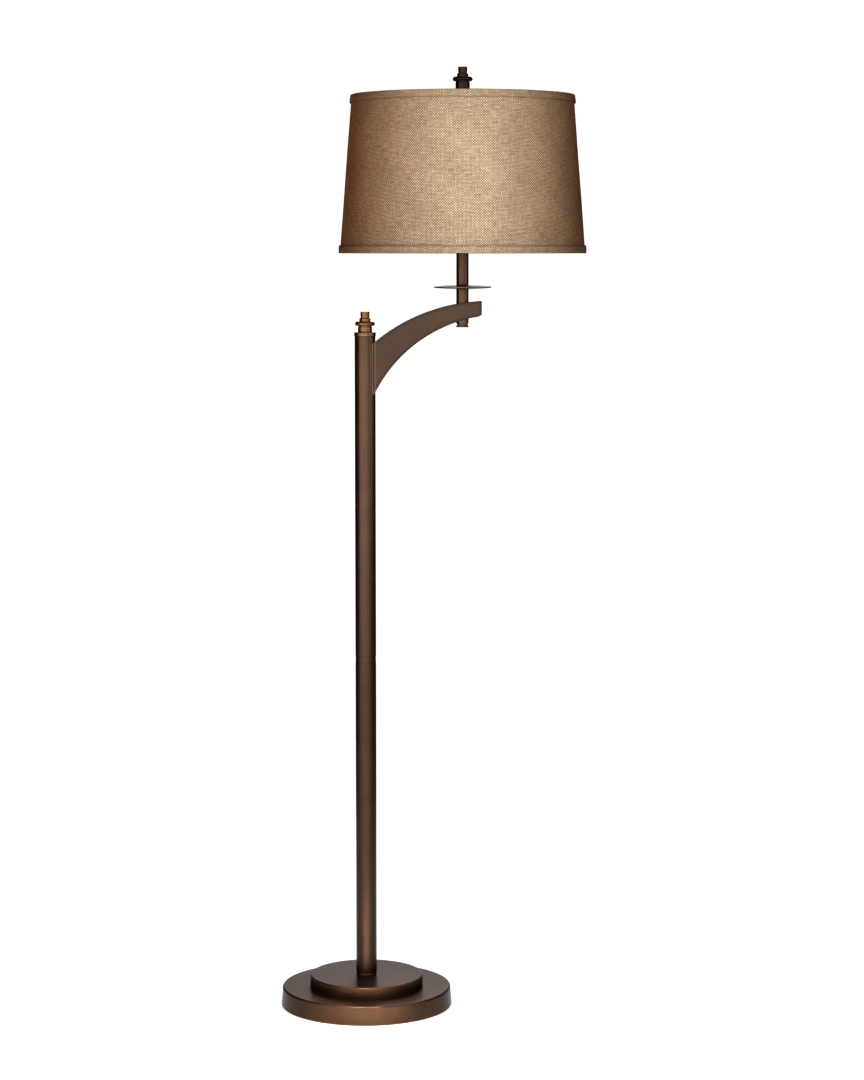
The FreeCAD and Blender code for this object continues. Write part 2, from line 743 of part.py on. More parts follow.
def make_pole_finial():
    bore = size("stud_radius") + size("stud_clearance")
    stud_up = size("pole_stud_length") - size("cap_spigot_length")
    depth = stud_up + size("stud_clearance")
    turned("pole_finial", finial_section(size("pole_finial_neck"), bore, depth), z=cap_top)
    stud_z = cap_top - size("cap_spigot_length")
    stud_length = size("pole_stud_length")
    stud = size("stud_radius")
    turned("pole_finial_stud", [(0, 0), (stud, 0), (stud, stud_length), (0, stud_length)], z=stud_z)


# ---------------------------------------------------------------- bridge arm


def arm_outline(sketch, wall, start_x):
    """Side view of the arm between its two arcs, drawn in from its skin by the wall."""
    end_x = arm_end - wall
    nose_x = arm_end - size("arm_nose_length") - wall / 2
    upper, lower = top_arc - wall, bottom_arc + wall
    nose_top = height_on_arc(bottom_centre_x, bottom_centre_z, lower, nose_x) + size("arm_nose_height")
    outline(sketch, [
        (start_x, height_on_arc(bottom_centre_x, bottom_centre_z, lower, arm_root)),
        (arm_root, height_on_arc(bottom_centre_x, bottom_centre_z, lower, arm_root)),
        (nose_x, height_on_arc(bottom_centre_x, bottom_centre_z, lower, nose_x), -lower),
        (end_x, nose_top),
        (end_x, height_on_arc(top_centre_x, top_centre_z, upper, end_x)),
        (arm_root, height_on_arc(top_centre_x, top_centre_z, upper, arm_root), upper),
        (start_x, height_on_arc(top_centre_x, top_centre_z, upper, arm_root)),
    ])


def make_bridge_arm():
    """Hollow box section between two arcs, coped and welded to the pole."""
    body = new_body("bridge_arm")
    side = new_sketch(body, "side")
    arm_outline(side, as_size(0), as_size(0))
    pad(body, side, size("arm_width"), middle=True)
    add_weld_beads(body)
    cavity = new_sketch(body, "cavity")
    arm_outline(cavity, size("arm_wall"), as_size(0))
    pocket(body, cavity, size("arm_width") - size("arm_wall") * 2, middle=True)
    cope = new_sketch(body, "cope", "XY_Plane")
    circle(cope, 0, 0, pole_radius + seat_gap)
    pocket(body, cope, pole_top * PAST_ALL, middle=True)
    pipe = new_sketch(body, "pipe_holes", "XY_Plane")
    circle(pipe, reach, 0, pipe_hole)
    pocket(body, pipe, pole_top * PAST_ALL, middle=True)


def add_weld_beads(body):
    """A rounded bead in the corner between the pole and each flat side of the arm."""
    half = size("arm_width") / 2
    core = half / 2
    skin = pole_radius + seat_gap
    corner_x = root(skin * skin - half * half)
    on_arm, on_pole = corner_x + size("weld_on_arm"), corner_x - size("weld_on_pole")
    proud = half + size("weld_on_pole")
    bottom = height_on_arc(bottom_centre_x, bottom_centre_z, bottom_arc, on_arm)
    top = height_on_arc(top_centre_x, top_centre_z, top_arc, arm_root)
    for name, side in (("weld_front", -1), ("weld_rear", 1)):
        sketch = new_sketch(body, name, "XY_Plane")
        sketch.setExpression("AttachmentOffset.Base.z", bottom.text)
        outline(sketch, [
            (0, core * side),
            (on_arm, core * side),
            (on_arm, half * side),
            (on_pole, proud * side, size("weld_round") * side),
            (0, proud * side),
        ])
        pad(body, sketch, top - bottom)


# ---------------------------------------------------------------- post on the arm's end


def cope_to_arm(body, centre_x, centre_z, radius, outside):
    """Cut a sleeve to fit the arm: by the disc of the top arc, or by all outside the lower arc."""
    sketch = new_sketch(body, "cope")
    if outside:
        left, right = reach - sleeve_radius * PAST_ALL / 2, reach + sleeve_radius * PAST_ALL / 2
        far = arm_bottom_at_post + sleeve_radius * PAST_ALL
        outline(sketch, [
            (left, height_on_arc(centre_x, centre_z, radius, left)),
            (right, height_on_arc(centre_x, centre_z, radius, right), -radius),
            (right, far),
            (left, far),
        ])
    else:
        circle(sketch, centre_x, centre_z, radius)
    pocket(body, sketch, sleeve_radius * PAST_ALL, middle=True)


def make_post_sleeves():
    """The sleeves beside the arm are drawn at full height and cut to its arcs."""
    far = sleeve_radius
    body = new_body("lower_sleeve")
    section = new_sketch(body, "section", "XY_Plane")
    section.setExpression("AttachmentOffset.Base.z", (arm_top_at_post - far).text)
    circle(section, reach, 0, sleeve_radius)
    circle(section, reach, 0, sleeve_bore)
    pad(body, section, size("lower_sleeve_length") + far)
    cope_to_arm(body, top_centre_x, top_centre_z, top_arc + seat_gap, False)

    tube("upper_sleeve", sleeve_radius, sleeve_bore, size("upper_sleeve_length"), x=reach, z=disc_top)

    body = new_body("arm_collar")
    section = new_sketch(body, "section", "XY_Plane")
    section.setExpression("AttachmentOffset.Base.z", nut_top.text)
    circle(section, reach, 0, sleeve_radius)
    circle(section, reach, 0, pipe_hole)
    pad(body, section, size("collar_length") + far)
    cope_to_arm(body, bottom_centre_x, bottom_centre_z, bottom_arc - seat_gap, True)


def make_drip_disc():
    """Lens-shaped turned disc: flat at its hub, then curving down to a rounded rim."""
    hub, height = size("disc_hub_radius"), size("disc_height")
    half_edge = size("disc_edge") / 2
    rim, middle = size("disc_radius") - half_edge, height / 2
    run, fall = rim - hub, middle - half_edge
    face_curve = (run * run + fall * fall) / (fall * 2)
    turned("drip_disc", [
        (pipe_hole, 0),
        (hub, 0),
        (rim, middle - half_edge, face_curve),
        (rim, middle + half_edge, half_edge * NEARLY_HALF),
        (hub, height, face_curve),
        (pipe_hole, height),
    ], x=reach, z=disc_bottom)


def make_post_nut():
    """Knurled nut under the arm, with a neck that shows as a groove."""
    neck, height = size("nut_neck_height"), size("nut_height")
    neck_radius = sleeve_radius - size("nut_neck_inset")
    body = turned("post_nut", [
        (pipe_hole, 0),
        (sleeve_radius, 0),
        (sleeve_radius, height),
        (neck_radius, height),
        (neck_radius, height + neck),
        (pipe_hole, height + neck),
    ], x=reach, z=nut_bottom)
    flute = new_sketch(body, "flute", "XY_Plane")
    circle(flute, sleeve_radius, 0, size("knurl_radius"))
    cut = pocket(body, flute, height * 2, middle=True)
    around(body, cut, NUT_FLUTES)


def make_post_pipe():
    """Threaded pipe from the knurled nut up into the socket, slotted inside the arm."""
    length = pipe_top - pipe_bottom
    body = tube("post_pipe", pipe_radius, size("pipe_bore_radius"), length, x=reach, z=pipe_bottom)
    slot = new_sketch(body, "wire_slot", "YZ_Plane")
    half = size("pipe_slot_width") / 2
    bottom = arm_bottom_at_post + size("arm_wall") * 2 - pipe_bottom
    top = bottom + size("pipe_slot_height")
    outline(slot, [(-half, bottom), (half, bottom), (half, top), (-half, top)])
    pocket(body, slot, pipe_hole)


def make_check_ring():
    outer, height = size("check_ring_radius"), size("check_ring_height")
    round_edge = size("check_ring_round")
    turned("check_ring", [
        (pipe_hole, 0),
        (outer, 0),
        (outer, height - round_edge),
        (outer - round_edge, height, round_edge),
        (pipe_hole, height),
    ], x=reach, z=check_ring_bottom)


# ---------------------------------------------------------------- harp


def ear_inner_x():
    return size("harp_foot_x") + size("harp_wire_radius") + size("ear_gap")


def make_harp_saddle():
    """Bent strip on the pipe, with an upright ear beside each leg of the harp."""
    thickness = size("saddle_thickness")
    inner = ear_inner_x()
    outer = inner + thickness
    top = thickness + size("ear_height")
    body = new_body("harp_saddle")
    front = new_sketch(body, "front")
    outline(front, [
        (-outer, 0),
        (outer, 0),
        (outer, top),
        (inner, top),
        (inner, thickness),
        (-inner, thickness),
        (-inner, top),
        (-outer, top),
    ])
    pad(body, front, size("saddle_width"), middle=True)
    narrow = new_sketch(body, "narrow_ears", "YZ_Plane")
    half, side = size("ear_width") / 2, size("saddle_width")
    far = top + thickness
    outline(narrow, [(half, thickness), (side, thickness), (side, far), (half, far)])
    pocket(body, narrow, outer * PAST_ALL, middle=True)
    narrow_far = new_sketch(body, "narrow_ears_far", "YZ_Plane")
    outline(narrow_far, [(-side, thickness), (-half, thickness), (-half, far), (-side, far)])
    pocket(body, narrow_far, outer * PAST_ALL, middle=True)
    bore = new_sketch(body, "bore", "XY_Plane")
    circle(bore, 0, 0, pipe_hole)
    pocket(body, bore, thickness * PAST_ALL, middle=True)
    place(body, x=reach, z=saddle_bottom)


def make_harp_hoop():
    """Wire hoop bent in one plane, with a flat eye for the stud at its top."""
    foot_x, foot_z = size("harp_foot_x"), size("saddle_thickness") + size("slide_gap")
    side_x, wire = size("harp_half_width"), size("harp_wire_radius")
    eye_top = size("harp_height") - size("stud_flange_height")
    crown_z = eye_top - wire
    body = new_body("harp_hoop")
    eye = new_sketch(body, "eye")
    hole = size("rivet_radius") + seat_gap
    outline(eye, [
        (hole / 2, eye_top - wire * 2),
        (size("eye_radius"), eye_top - wire * 2),
        (size("eye_radius"), eye_top),
        (hole / 2, eye_top),
    ])
    revolve(body, eye)
    for name, side in (("right", 1), ("left", -1)):
        path = new_sketch(body, f"{name}_path")
        corners = [
            (foot_x * side, foot_z),
            (foot_x * side, size("harp_knee_height")),
            (side_x * side, size("harp_hip_height")),
            (side_x * side, size("harp_shoulder_height")),
            (size("harp_crown_x") * side, crown_z),
            (hole * side, crown_z),
        ]
        bends = [size("harp_knee_bend"), size("harp_hip_bend"),
                 size("harp_shoulder_bend"), size("harp_crown_bend")]
        polyline_with_bends(path, corners, bends)
        section = new_sketch(body, f"{name}_wire", "XY_Plane")
        section.setExpression("AttachmentOffset.Base.z", foot_z.text)
        circle(section, foot_x * side, 0, wire)
        sweep = body.newObject("PartDesign::AdditivePipe", f"{name}_leg")
        sweep.Profile = section
        runs_and_bends = len(bends) * 2 + 1
        sweep.Spine = (path, [f"Edge{number + 1}" for number in range(runs_and_bends)])
    bore = new_sketch(body, "rivet_hole", "XY_Plane")
    circle(bore, 0, 0, hole)
    pocket(body, bore, size("harp_height") * PAST_ALL, middle=True)
    place(body, x=reach, z=saddle_bottom)


def make_harp_stud():
    """Rivet through the hoop's eye, seat for the shade's washer, and thread for the finial."""
    eye_bottom = size("harp_height") - size("stud_flange_height") - size("harp_wire_radius") * 2
    head_top = eye_bottom - seat_gap
    head_bottom = head_top - size("rivet_head_height")
    seat = size("harp_height")
    flange_bottom = seat - size("stud_flange_height")
    shank, head = size("rivet_radius"), size("rivet_head_radius")
    flange, thread = size("stud_flange_radius"), size("stud_radius")
    tip = seat + size("stud_thread_length")
    bevel = size("stud_tip_bevel")
    turned("harp_stud", [
        (0, head_bottom),
        (head, head_bottom),
        (head, head_top),
        (shank, head_top),
        (shank, flange_bottom),
        (flange, flange_bottom),
        (flange, seat),
        (thread, seat),
        (thread, tip - bevel),
        (thread - bevel, tip),
        (0, tip),
    ], x=reach, z=saddle_bottom)


def make_harp_sleeves():
    """Locking sleeves that drop over each leg and its ear."""
    middle = (ear_inner_x() + size("saddle_thickness") + size("harp_foot_x")
              - size("harp_wire_radius")) / 2
    outer, bore, height = size("harp_sleeve_radius"), size("harp_sleeve_bore"), size("harp_sleeve_height")
    foot = saddle_top + size("slide_gap")
    tube("harp_sleeve_left", outer, bore, height, x=reach - middle, z=foot)
    tube("harp_sleeve_right", outer, bore, height, x=reach + middle, z=foot)


# ---------------------------------------------------------------- socket and knob


def make_socket_cap():
    """Brass cup screwed on the pipe, flaring to hold the shell."""
    neck, neck_height = size("socket_cap_neck_radius"), size("socket_cap_neck_height")
    outer, wall = size("socket_cap_radius"), size("socket_wall")
    shoulder, height = size("socket_cap_shoulder"), size("socket_cap_height")
    turned("socket_cap", [
        (pipe_hole, 0),
        (neck, 0),
        (neck, neck_height),
        (outer, shoulder),
        (outer, height),
        (outer - wall, height),
        (outer - wall, shoulder),
        (neck - wall, neck_height + wall),
        (pipe_hole, neck_height + wall),
    ], x=reach, z=saddle_top)


def socket_shell_radius():
    return size("socket_cap_radius") - size("socket_wall") - seat_gap


def cut_stem_hole(body, radius):
    """Hole towards the front for the knob's stem."""
    hole = new_sketch(body, "stem_hole")
    circle(hole, 0, size("knob_height"), radius)
    pocket(body, hole, size("knob_start"), backwards=True)


def make_socket_shell():
    """Sheet brass shell with a bead rolled round it."""
    outer, wall = socket_shell_radius(), size("socket_wall")
    foot, top = size("socket_shell_foot"), size("socket_shell_top")
    bead, bead_z = size("socket_bead_radius"), size("socket_bead_height")
    body = turned("socket_shell", [
        (outer - wall, foot),
        (outer, foot),
        (outer, bead_z - bead),
        (outer, bead_z + bead, bead * NEARLY_HALF),
        (outer, top),
        (outer - wall, top),
    ], x=reach, z=saddle_top)
    cut_stem_hole(body, size("stem_hole_radius"))


def make_socket_inside():
    liner = socket_shell_radius() - size("socket_wall") - seat_gap
    foot, top = size("socket_shell_foot"), size("socket_shell_top")
    liner_bore = liner - size("liner_wall")
    body = turned("socket_liner", [(liner_bore, foot), (liner, foot), (liner, top), (liner_bore, top)],
                  x=reach, z=saddle_top)
    cut_stem_hole(body, size("stem_hole_radius"))

    body_foot, body_top = size("switch_body_foot"), size("switch_body_top")
    wide = size("switch_body_radius")
    body = turned("switch_body", [(0, body_foot), (wide, body_foot), (wide, body_top), (0, body_top)],
                  x=reach, z=saddle_top)
    cut_stem_hole(body, size("stem_radius") + size("stem_clearance"))

    contact, contact_top = size("contact_radius"), body_top + size("contact_height")
    turned("centre_contact", [(0, body_top), (contact, body_top), (contact, contact_top), (0, contact_top)],
           x=reach, z=saddle_top)

    outer, wall = size("screw_shell_radius"), size("screw_shell_wall")
    rim, flat = size("screw_shell_top"), contact + size("contact_height")
    turned("screw_shell", [
        (flat, body_top),
        (outer, body_top),
        (outer, rim),
        (outer - wall, rim),
        (outer - wall, body_top + wall),
        (flat, body_top + wall),
    ], x=reach, z=saddle_top)


def make_switch_knob():
    """Turned knob with flutes, on a stem that runs into the switch body."""
    stem, start = size("stem_radius"), size("stem_start")
    inner, length = size("knob_start"), size("knob_length")
    narrow, wide, edge = size("knob_root_radius"), size("knob_tip_radius"), size("knob_tip_round")
    end = inner + length
    body = turned("switch_knob", [
        (0, start),
        (stem, start),
        (stem, inner),
        (narrow, inner),
        (wide, end - edge),
        (wide - edge, end, edge),
        (0, end),
    ])
    flute = new_sketch(body, "flute", "XY_Plane")
    flute.setExpression("AttachmentOffset.Base.z", inner.text)
    flute_radius = size("knob_flute_radius")
    circle(flute, wide + flute_radius - size("knob_flute_depth"), 0, flute_radius)
    cut = pocket(body, flute, length, backwards=True)
    around(body, cut, KNOB_FLUTES)
    body.Placement = FreeCAD.Placement(Vector(), FreeCAD.Rotation(Vector(1, 0, 0), 90))
    place(body, x=reach, z=saddle_top + size("knob_height"))


# ---------------------------------------------------------------- bulb

bulb_bottom = saddle_top + size("switch_body_top") + size("contact_height") + size("bulb_seat_gap")


def make_bulb_cap():
    """Screw cap of the bulb with its contact tip; it closes under the glass."""
    outer, height = size("bulb_cap_radius"), size("bulb_cap_height")
    tip, tip_height = size("bulb_tip_radius"), size("bulb_tip_height")
    shoulder = size("bulb_cap_shoulder")
    turned("bulb_cap", [
        (0, 0),
        (tip / 2, 0),
        (tip, tip_height),
        (outer - shoulder, tip_height + shoulder),
        (outer, tip_height + shoulder * 2),
        (outer, height),
        (0, height),
    ], x=reach, z=bulb_bottom)


def make_bulb_glass():
    """Hollow globe with a neck that narrows to the cap."""
    length, globe, wall = size("bulb_length"), size("bulb_radius"), size("bulb_wall")
    centre = length - globe
    cap = size("bulb_cap_radius")
    start = size("bulb_cap_height")
    neck, neck_z = size("bulb_neck_radius"), start + size("bulb_neck_height")
    meet_x, bend = size("bulb_meet_radius"), size("bulb_neck_bend")
    meet_z = centre - root(globe * globe - meet_x * meet_x)
    inner_globe = globe - wall
    inner_meet_x = meet_x - wall
    inner_meet_z = centre - root(inner_globe * inner_globe - inner_meet_x * inner_meet_x)
    turned("bulb_glass", [
        (cap - wall, start),
        (cap, start),
        (neck, neck_z),
        (meet_x, meet_z, -bend),
        (globe, centre, globe),
        (0, length, globe),
        (0, length - wall),
        (inner_globe, centre, -inner_globe),
        (inner_meet_x, inner_meet_z, -inner_globe),
        (neck - wall, neck_z, bend),
    ], x=reach, z=bulb_bottom)


# ---------------------------------------------------------------- shade


def wall_radius(top_radius, bottom_radius, below_top):
    """Radius of a straight tapered wall at a depth below the shade's top edge."""
    return top_radius + (bottom_radius - top_radius) * (below_top / size("shade_height"))


def skin_radius(inset, below_top):
    """Radius inside the shade's outermost surface by an inset, at a depth below the top."""
    top, bottom = size("shade_top_radius") - inset, size("shade_bottom_radius") - inset
    return wall_radius(top, bottom, below_top)


def tapered_wall(label, inset, thickness, first, last):
    """A conical band of the shade, from one depth below its top edge to another."""
    turned(label, [
        (skin_radius(inset, first), -first),
        (skin_radius(inset + thickness, first), -first),
        (skin_radius(inset + thickness, last), -last),
        (skin_radius(inset, last), -last),
    ], x=reach, z=shade_top)


def cover_inset():
    return size("trim_thickness") + seat_gap


def liner_inset():
    return cover_inset() + size("fabric_thickness") + seat_gap


def ring_depth():
    return size("trim_lip") + seat_gap + size("ring_wire_radius")


def ring_inset():
    """Skin to the centre of a ring wire, which lies against the liner."""
    return liner_inset() + size("liner_thickness") + seat_gap * 2 + size("ring_wire_radius")


def make_shade_walls():
    lip = size("trim_lip") + seat_gap
    last = size("shade_height") - lip
    tapered_wall("shade_cover", cover_inset(), size("fabric_thickness"), lip, last)
    tapered_wall("shade_liner", liner_inset(), size("liner_thickness"), lip, last)


def make_shade_trim(label, edge, inwards):
    """Folded band over one edge: outside, across the edge, and a short turn inside."""
    lip, tall, short = size("trim_lip"), size("trim_height"), size("trim_turn_in")
    thick = size("trim_thickness")
    inside = ring_inset() + size("ring_wire_radius") + seat_gap
    at_edge, past_lip = edge, edge + lip * inwards
    at_tall, at_short = edge + tall * inwards, edge + short * inwards
    round_edge = lip / 2
    below = edge + round_edge * inwards
    turned(label, [
        (skin_radius(thick, past_lip), -past_lip),
        (skin_radius(thick, at_tall), -at_tall),
        (skin_radius(as_size(0), at_tall), -at_tall),
        (skin_radius(as_size(0), below), -below),
        (skin_radius(round_edge, at_edge), -at_edge),
        (skin_radius(inside + lip, at_edge), -at_edge),
        (skin_radius(inside + lip, at_short), -at_short),
        (skin_radius(inside, at_short), -at_short),
        (skin_radius(inside, past_lip), -past_lip),
    ], x=reach, z=shade_top)


def make_ring_wire(label, depth):
    ring = doc.addObject("Part::Torus", label)
    ring.Label = label
    ring.setExpression("Radius1", skin_radius(ring_inset(), depth).text)
    ring.setExpression("Radius2", size("ring_wire_radius").text)
    place(ring, x=reach, z=shade_top - depth)
    pieces.append(ring)


def make_spider_fitter():
    """Washer on the harp's stud, with three spokes welded under the top ring wire."""
    washer, thickness = size("washer_radius"), size("washer_thickness")
    bore = size("stud_radius") + size("stud_clearance")
    depth = size("spider_drop")
    body = turned("spider_fitter", [
        (bore, -depth - thickness),
        (washer, -depth - thickness),
        (washer, -depth),
        (bore, -depth),
    ], x=reach, z=shade_top)
    spoke = new_sketch(body, "spoke", "YZ_Plane")
    spoke_depth = ring_depth() + size("ring_wire_radius") + size("spoke_radius")
    start = size("spoke_start")
    spoke.setExpression("AttachmentOffset.Base.z", start.text)
    circle(spoke, 0, -spoke_depth, size("spoke_radius"))
    length = skin_radius(ring_inset(), ring_depth()) - start
    rod = pad(body, spoke, length)
    around(body, rod, SPOKES)
    body.setExpression("Placement.Rotation.Angle", FIRST_SPOKE)


def make_shade():
    height = size("shade_height")
    make_shade_walls()
    make_shade_trim("shade_top_trim", as_size(0), 1)
    make_shade_trim("shade_bottom_trim", height, -1)
    make_ring_wire("shade_top_ring", ring_depth())
    make_ring_wire("shade_bottom_ring", height - ring_depth())
    make_spider_fitter()
    bore = size("stud_radius") + size("stud_clearance")
    section = finial_section(size("shade_finial_neck"), bore, size("finial_bore_depth"))
    turned("shade_finial", section, x=reach, z=washer_top + size("turn_gap"))


# ---------------------------------------------------------------- build, check and write

make_base_felt()
make_base_shell()
make_base_weight()
make_base_step()
make_base_fasteners()
make_cord_bushing()
make_pole_foot()
make_pole_tubes()
make_pole_coupler()
make_pole_cap()
make_pole_finial()
make_bridge_arm()
make_post_sleeves()
make_drip_disc()
make_post_nut()
make_post_pipe()
make_check_ring()
make_harp_saddle()
make_harp_hoop()
make_harp_stud()
make_harp_sleeves()
make_socket_cap()
make_socket_shell()
make_socket_inside()
make_switch_knob()
make_bulb_cap()
make_bulb_glass()
make_shade()

doc.recompute()
for item in doc.Objects:
    if "Invalid" in item.State or "Error" in item.State:
        raise RuntimeError(f"{item.Label} failed: {item.State}")
for piece in pieces:
    if piece.Shape.isNull() or not piece.Shape.isValid():
        raise RuntimeError(f"{piece.Label} has no valid shape")

os.makedirs("parts", exist_ok=True)
for piece in pieces:
    piece.Shape.exportStep(f"parts/{piece.Label}.step")
    box = piece.Shape.BoundBox
    print(f"{piece.Label:20s} solids {len(piece.Shape.Solids)} volume {piece.Shape.Volume:12.1f} "
          f"z {box.ZMin:8.2f} to {box.ZMax:8.2f} x {box.XMin:8.2f} to {box.XMax:8.2f}")
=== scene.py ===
"""Bridge floor lamp: finishes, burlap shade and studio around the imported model. Metres throughout."""

import math

import bpy
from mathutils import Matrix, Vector


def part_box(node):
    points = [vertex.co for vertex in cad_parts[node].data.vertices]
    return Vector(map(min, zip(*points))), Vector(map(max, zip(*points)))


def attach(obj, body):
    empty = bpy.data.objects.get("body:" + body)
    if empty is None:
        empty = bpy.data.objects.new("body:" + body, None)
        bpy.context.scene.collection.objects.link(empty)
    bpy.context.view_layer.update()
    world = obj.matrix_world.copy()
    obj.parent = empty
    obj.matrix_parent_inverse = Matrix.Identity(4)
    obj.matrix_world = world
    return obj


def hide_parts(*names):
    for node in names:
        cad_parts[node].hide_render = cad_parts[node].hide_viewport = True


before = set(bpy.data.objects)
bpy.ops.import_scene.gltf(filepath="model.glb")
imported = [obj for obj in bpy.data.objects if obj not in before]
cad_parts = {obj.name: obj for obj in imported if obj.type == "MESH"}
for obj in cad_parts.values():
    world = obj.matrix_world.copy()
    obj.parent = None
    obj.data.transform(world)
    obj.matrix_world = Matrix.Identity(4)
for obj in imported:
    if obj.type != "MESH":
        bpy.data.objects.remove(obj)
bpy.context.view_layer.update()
MM = 0.001

# Camera, from the lamp's ellipses and widths in the photograph.
CAMERA_PLACE = (0.10769, -4.41970, 1.22309)
CAMERA_PITCH_DOWN = 0.102805
CAMERA_LENS = 91.43
CAMERA_SENSOR = 36.0
CAMERA_CLIP = (0.05, 200.0)

# Burlap: its threads, and its gap, shaded, plain and pale colours.
THREAD_PITCH = 2.0 * MM
THREAD_SWAY = 0.7 * THREAD_PITCH
THREAD_DIP = 0.55
SLUB_RUN = 14 * MM
WEFT_PALER = 0.16
WEAVE_RELIEF = 0.45 * MM
COVER_JUTE = ((0.030, 0.018, 0.009), (0.160, 0.104, 0.061), (0.398, 0.301, 0.222), (0.636, 0.537, 0.446))
TRIM_JUTE = ((0.028, 0.017, 0.008), (0.150, 0.098, 0.058), (0.372, 0.283, 0.210), (0.595, 0.505, 0.420))
# Painted shadow line along a trim's free edge: its place and its width.
EDGE_SHADOW_PLACE = 0.6 * MM
EDGE_SHADOW_WIDTH = 1.3 * MM

# Shade cover. A ripple is its waves around, its lean down the height, and its phase.
COVER_THICKNESS = 0.8 * MM
COVER_CLEARANCE = 0.05 * MM
COVER_LAP = 11 * MM
COVER_RIPPLE = 0.12 * MM
COVER_RIPPLES = ((5, 9, 0.0), (11, -5, 1.3))
COVER_ROWS = 24
STEPS_AROUND = 360
RIM_NEAR = 0.05 * MM

# Trims: bands folded over the shade's edges. A wave is its count around and its phase. The free edge is
# that point of trim_section.
TRIM_FOLD = 0.9 * MM
TRIM_THICKNESS = 1.9 * MM
TRIM_TURN_IN = 4.0 * MM
TRIM_BULGE = 0.15 * MM
TRIM_LAP = 14 * MM
TRIM_LAP_RISE = 0.7 * MM
TRIM_WAVE = 0.10 * MM
TRIM_WAVES = ((17, 0.0), (29, 2.1))
TRIM_FREE_EDGE = 3

# Bronze: how far in from a sharp edge its painted edge tone reaches, and the strip of the arm's weld,
# painted paler as a highlight.
EDGE_REACH = 1.6 * MM
BASE_EDGE_REACH = 3.5 * MM
ARM_EDGE_REACH = 7.0 * MM
TURNED_EDGE_REACH = 0.5 * MM
EDGE_SAMPLES = 6
WELD_WIDTH = 1.6 * MM
WELD_FADE = 0.6 * MM
WELD_HIGHLIGHT_PALER = 1.4

# Bronze: dark, middle and light clouds of the skin, painted tones along edges (a dark one paints shadow
# lines, a pale one paints a highlight that is partly rubbed wear), and the tint at a grazing look.
BRONZE = ((0.084, 0.053, 0.037), (0.100, 0.063, 0.043), (0.120, 0.076, 0.051))
BASE_BRONZE = ((0.086, 0.051, 0.033), (0.103, 0.061, 0.039), (0.124, 0.074, 0.047))
# The arm's skin: a darker copy of the same bronze, painted shade.
ARM_SHADED_BRONZE = ((0.057, 0.038, 0.028), (0.068, 0.045, 0.032), (0.079, 0.052, 0.037))
# Pole finial, cap and foot ring: a paler copy of the same bronze, painted highlight.
LIT_FINIAL_BRONZE = ((0.165, 0.099, 0.053), (0.20, 0.121, 0.065), (0.24, 0.146, 0.079))
# The shade finial's skin: a darker copy of the same bronze, painted shade.
SHADED_FINIAL_BRONZE = ((0.040, 0.026, 0.018), (0.050, 0.031, 0.021), (0.062, 0.038, 0.025))
GOLD_BRONZE = ((0.13, 0.085, 0.045), (0.21, 0.14, 0.075), (0.30, 0.21, 0.12))
BRONZE_SHADOW = (0.010, 0.0065, 0.0045)
# Pale edge tone: rubbed wear, and a painted highlight along rims and turned edges.
BRONZE_WEAR_AND_HIGHLIGHT = (0.32, 0.21, 0.13)
BRONZE_GRAZING = (0.30, 0.24, 0.20, 1.0)
SATIN = 0.42
POLISHED = 0.34

# Other finishes: dull and clean colour.
IRON = ((0.035, 0.033, 0.032), (0.075, 0.055, 0.042))
FROST = ((0.80, 0.79, 0.77), (0.88, 0.875, 0.86))
BACKING = ((0.70, 0.665, 0.59), (0.77, 0.74, 0.675))

# Studio: a pale horizon and a dim sky, by the upward part of a direction.
PALE = 0.62
PALE_UP_TO = 0.26
DIM_FROM = 0.42
DIM_SKY = (0.05, 0.05, 0.052, 1.0)
FLOOR_GLOW = 0.43
FLOOR_PAINT = ((0.80, 0.80, 0.80), (0.83, 0.83, 0.83))
FLOOR_RADIUS = 4.0
FLOOR_STEPS = 96
FLOOR_PAINTED = 0.35
FLOOR_BLENDED = 1.6
FLAG_DISTANCE = 1.5
FLAG_WIDTH = 1.3
FLAG_HEIGHT = 2.4
FLAG_CLOTH = (0.02, 0.02, 0.02, 1.0)
FLAGS = {"left_flag": -135, "left_side_flag": -92, "right_side_flag": 84, "right_flag": 135}
BLACK = (0.0, 0.0, 0.0)
WHITE = (1.0, 1.0, 1.0)
WARM = (1.0, 0.88, 0.75)
COPPER = (1.0, 0.80, 0.62)
AMBER = (1.0, 0.40, 0.09)
COOL = (0.84, 0.96, 1.0)
SKY = (0.80, 0.90, 1.0)
SHADE_MIDDLE = (0.157, 0.0, 1.36)


def make_camera():
    data = bpy.data.cameras.new("camera")
    data.lens = CAMERA_LENS
    data.sensor_width = CAMERA_SENSOR
    data.clip_start, data.clip_end = CAMERA_CLIP
    camera = bpy.data.objects.new("camera", data)
    camera.location = CAMERA_PLACE
    camera.rotation_euler = (math.pi / 2 - CAMERA_PITCH_DOWN, 0, 0)
    bpy.context.scene.collection.objects.link(camera)
    bpy.context.scene.camera = camera


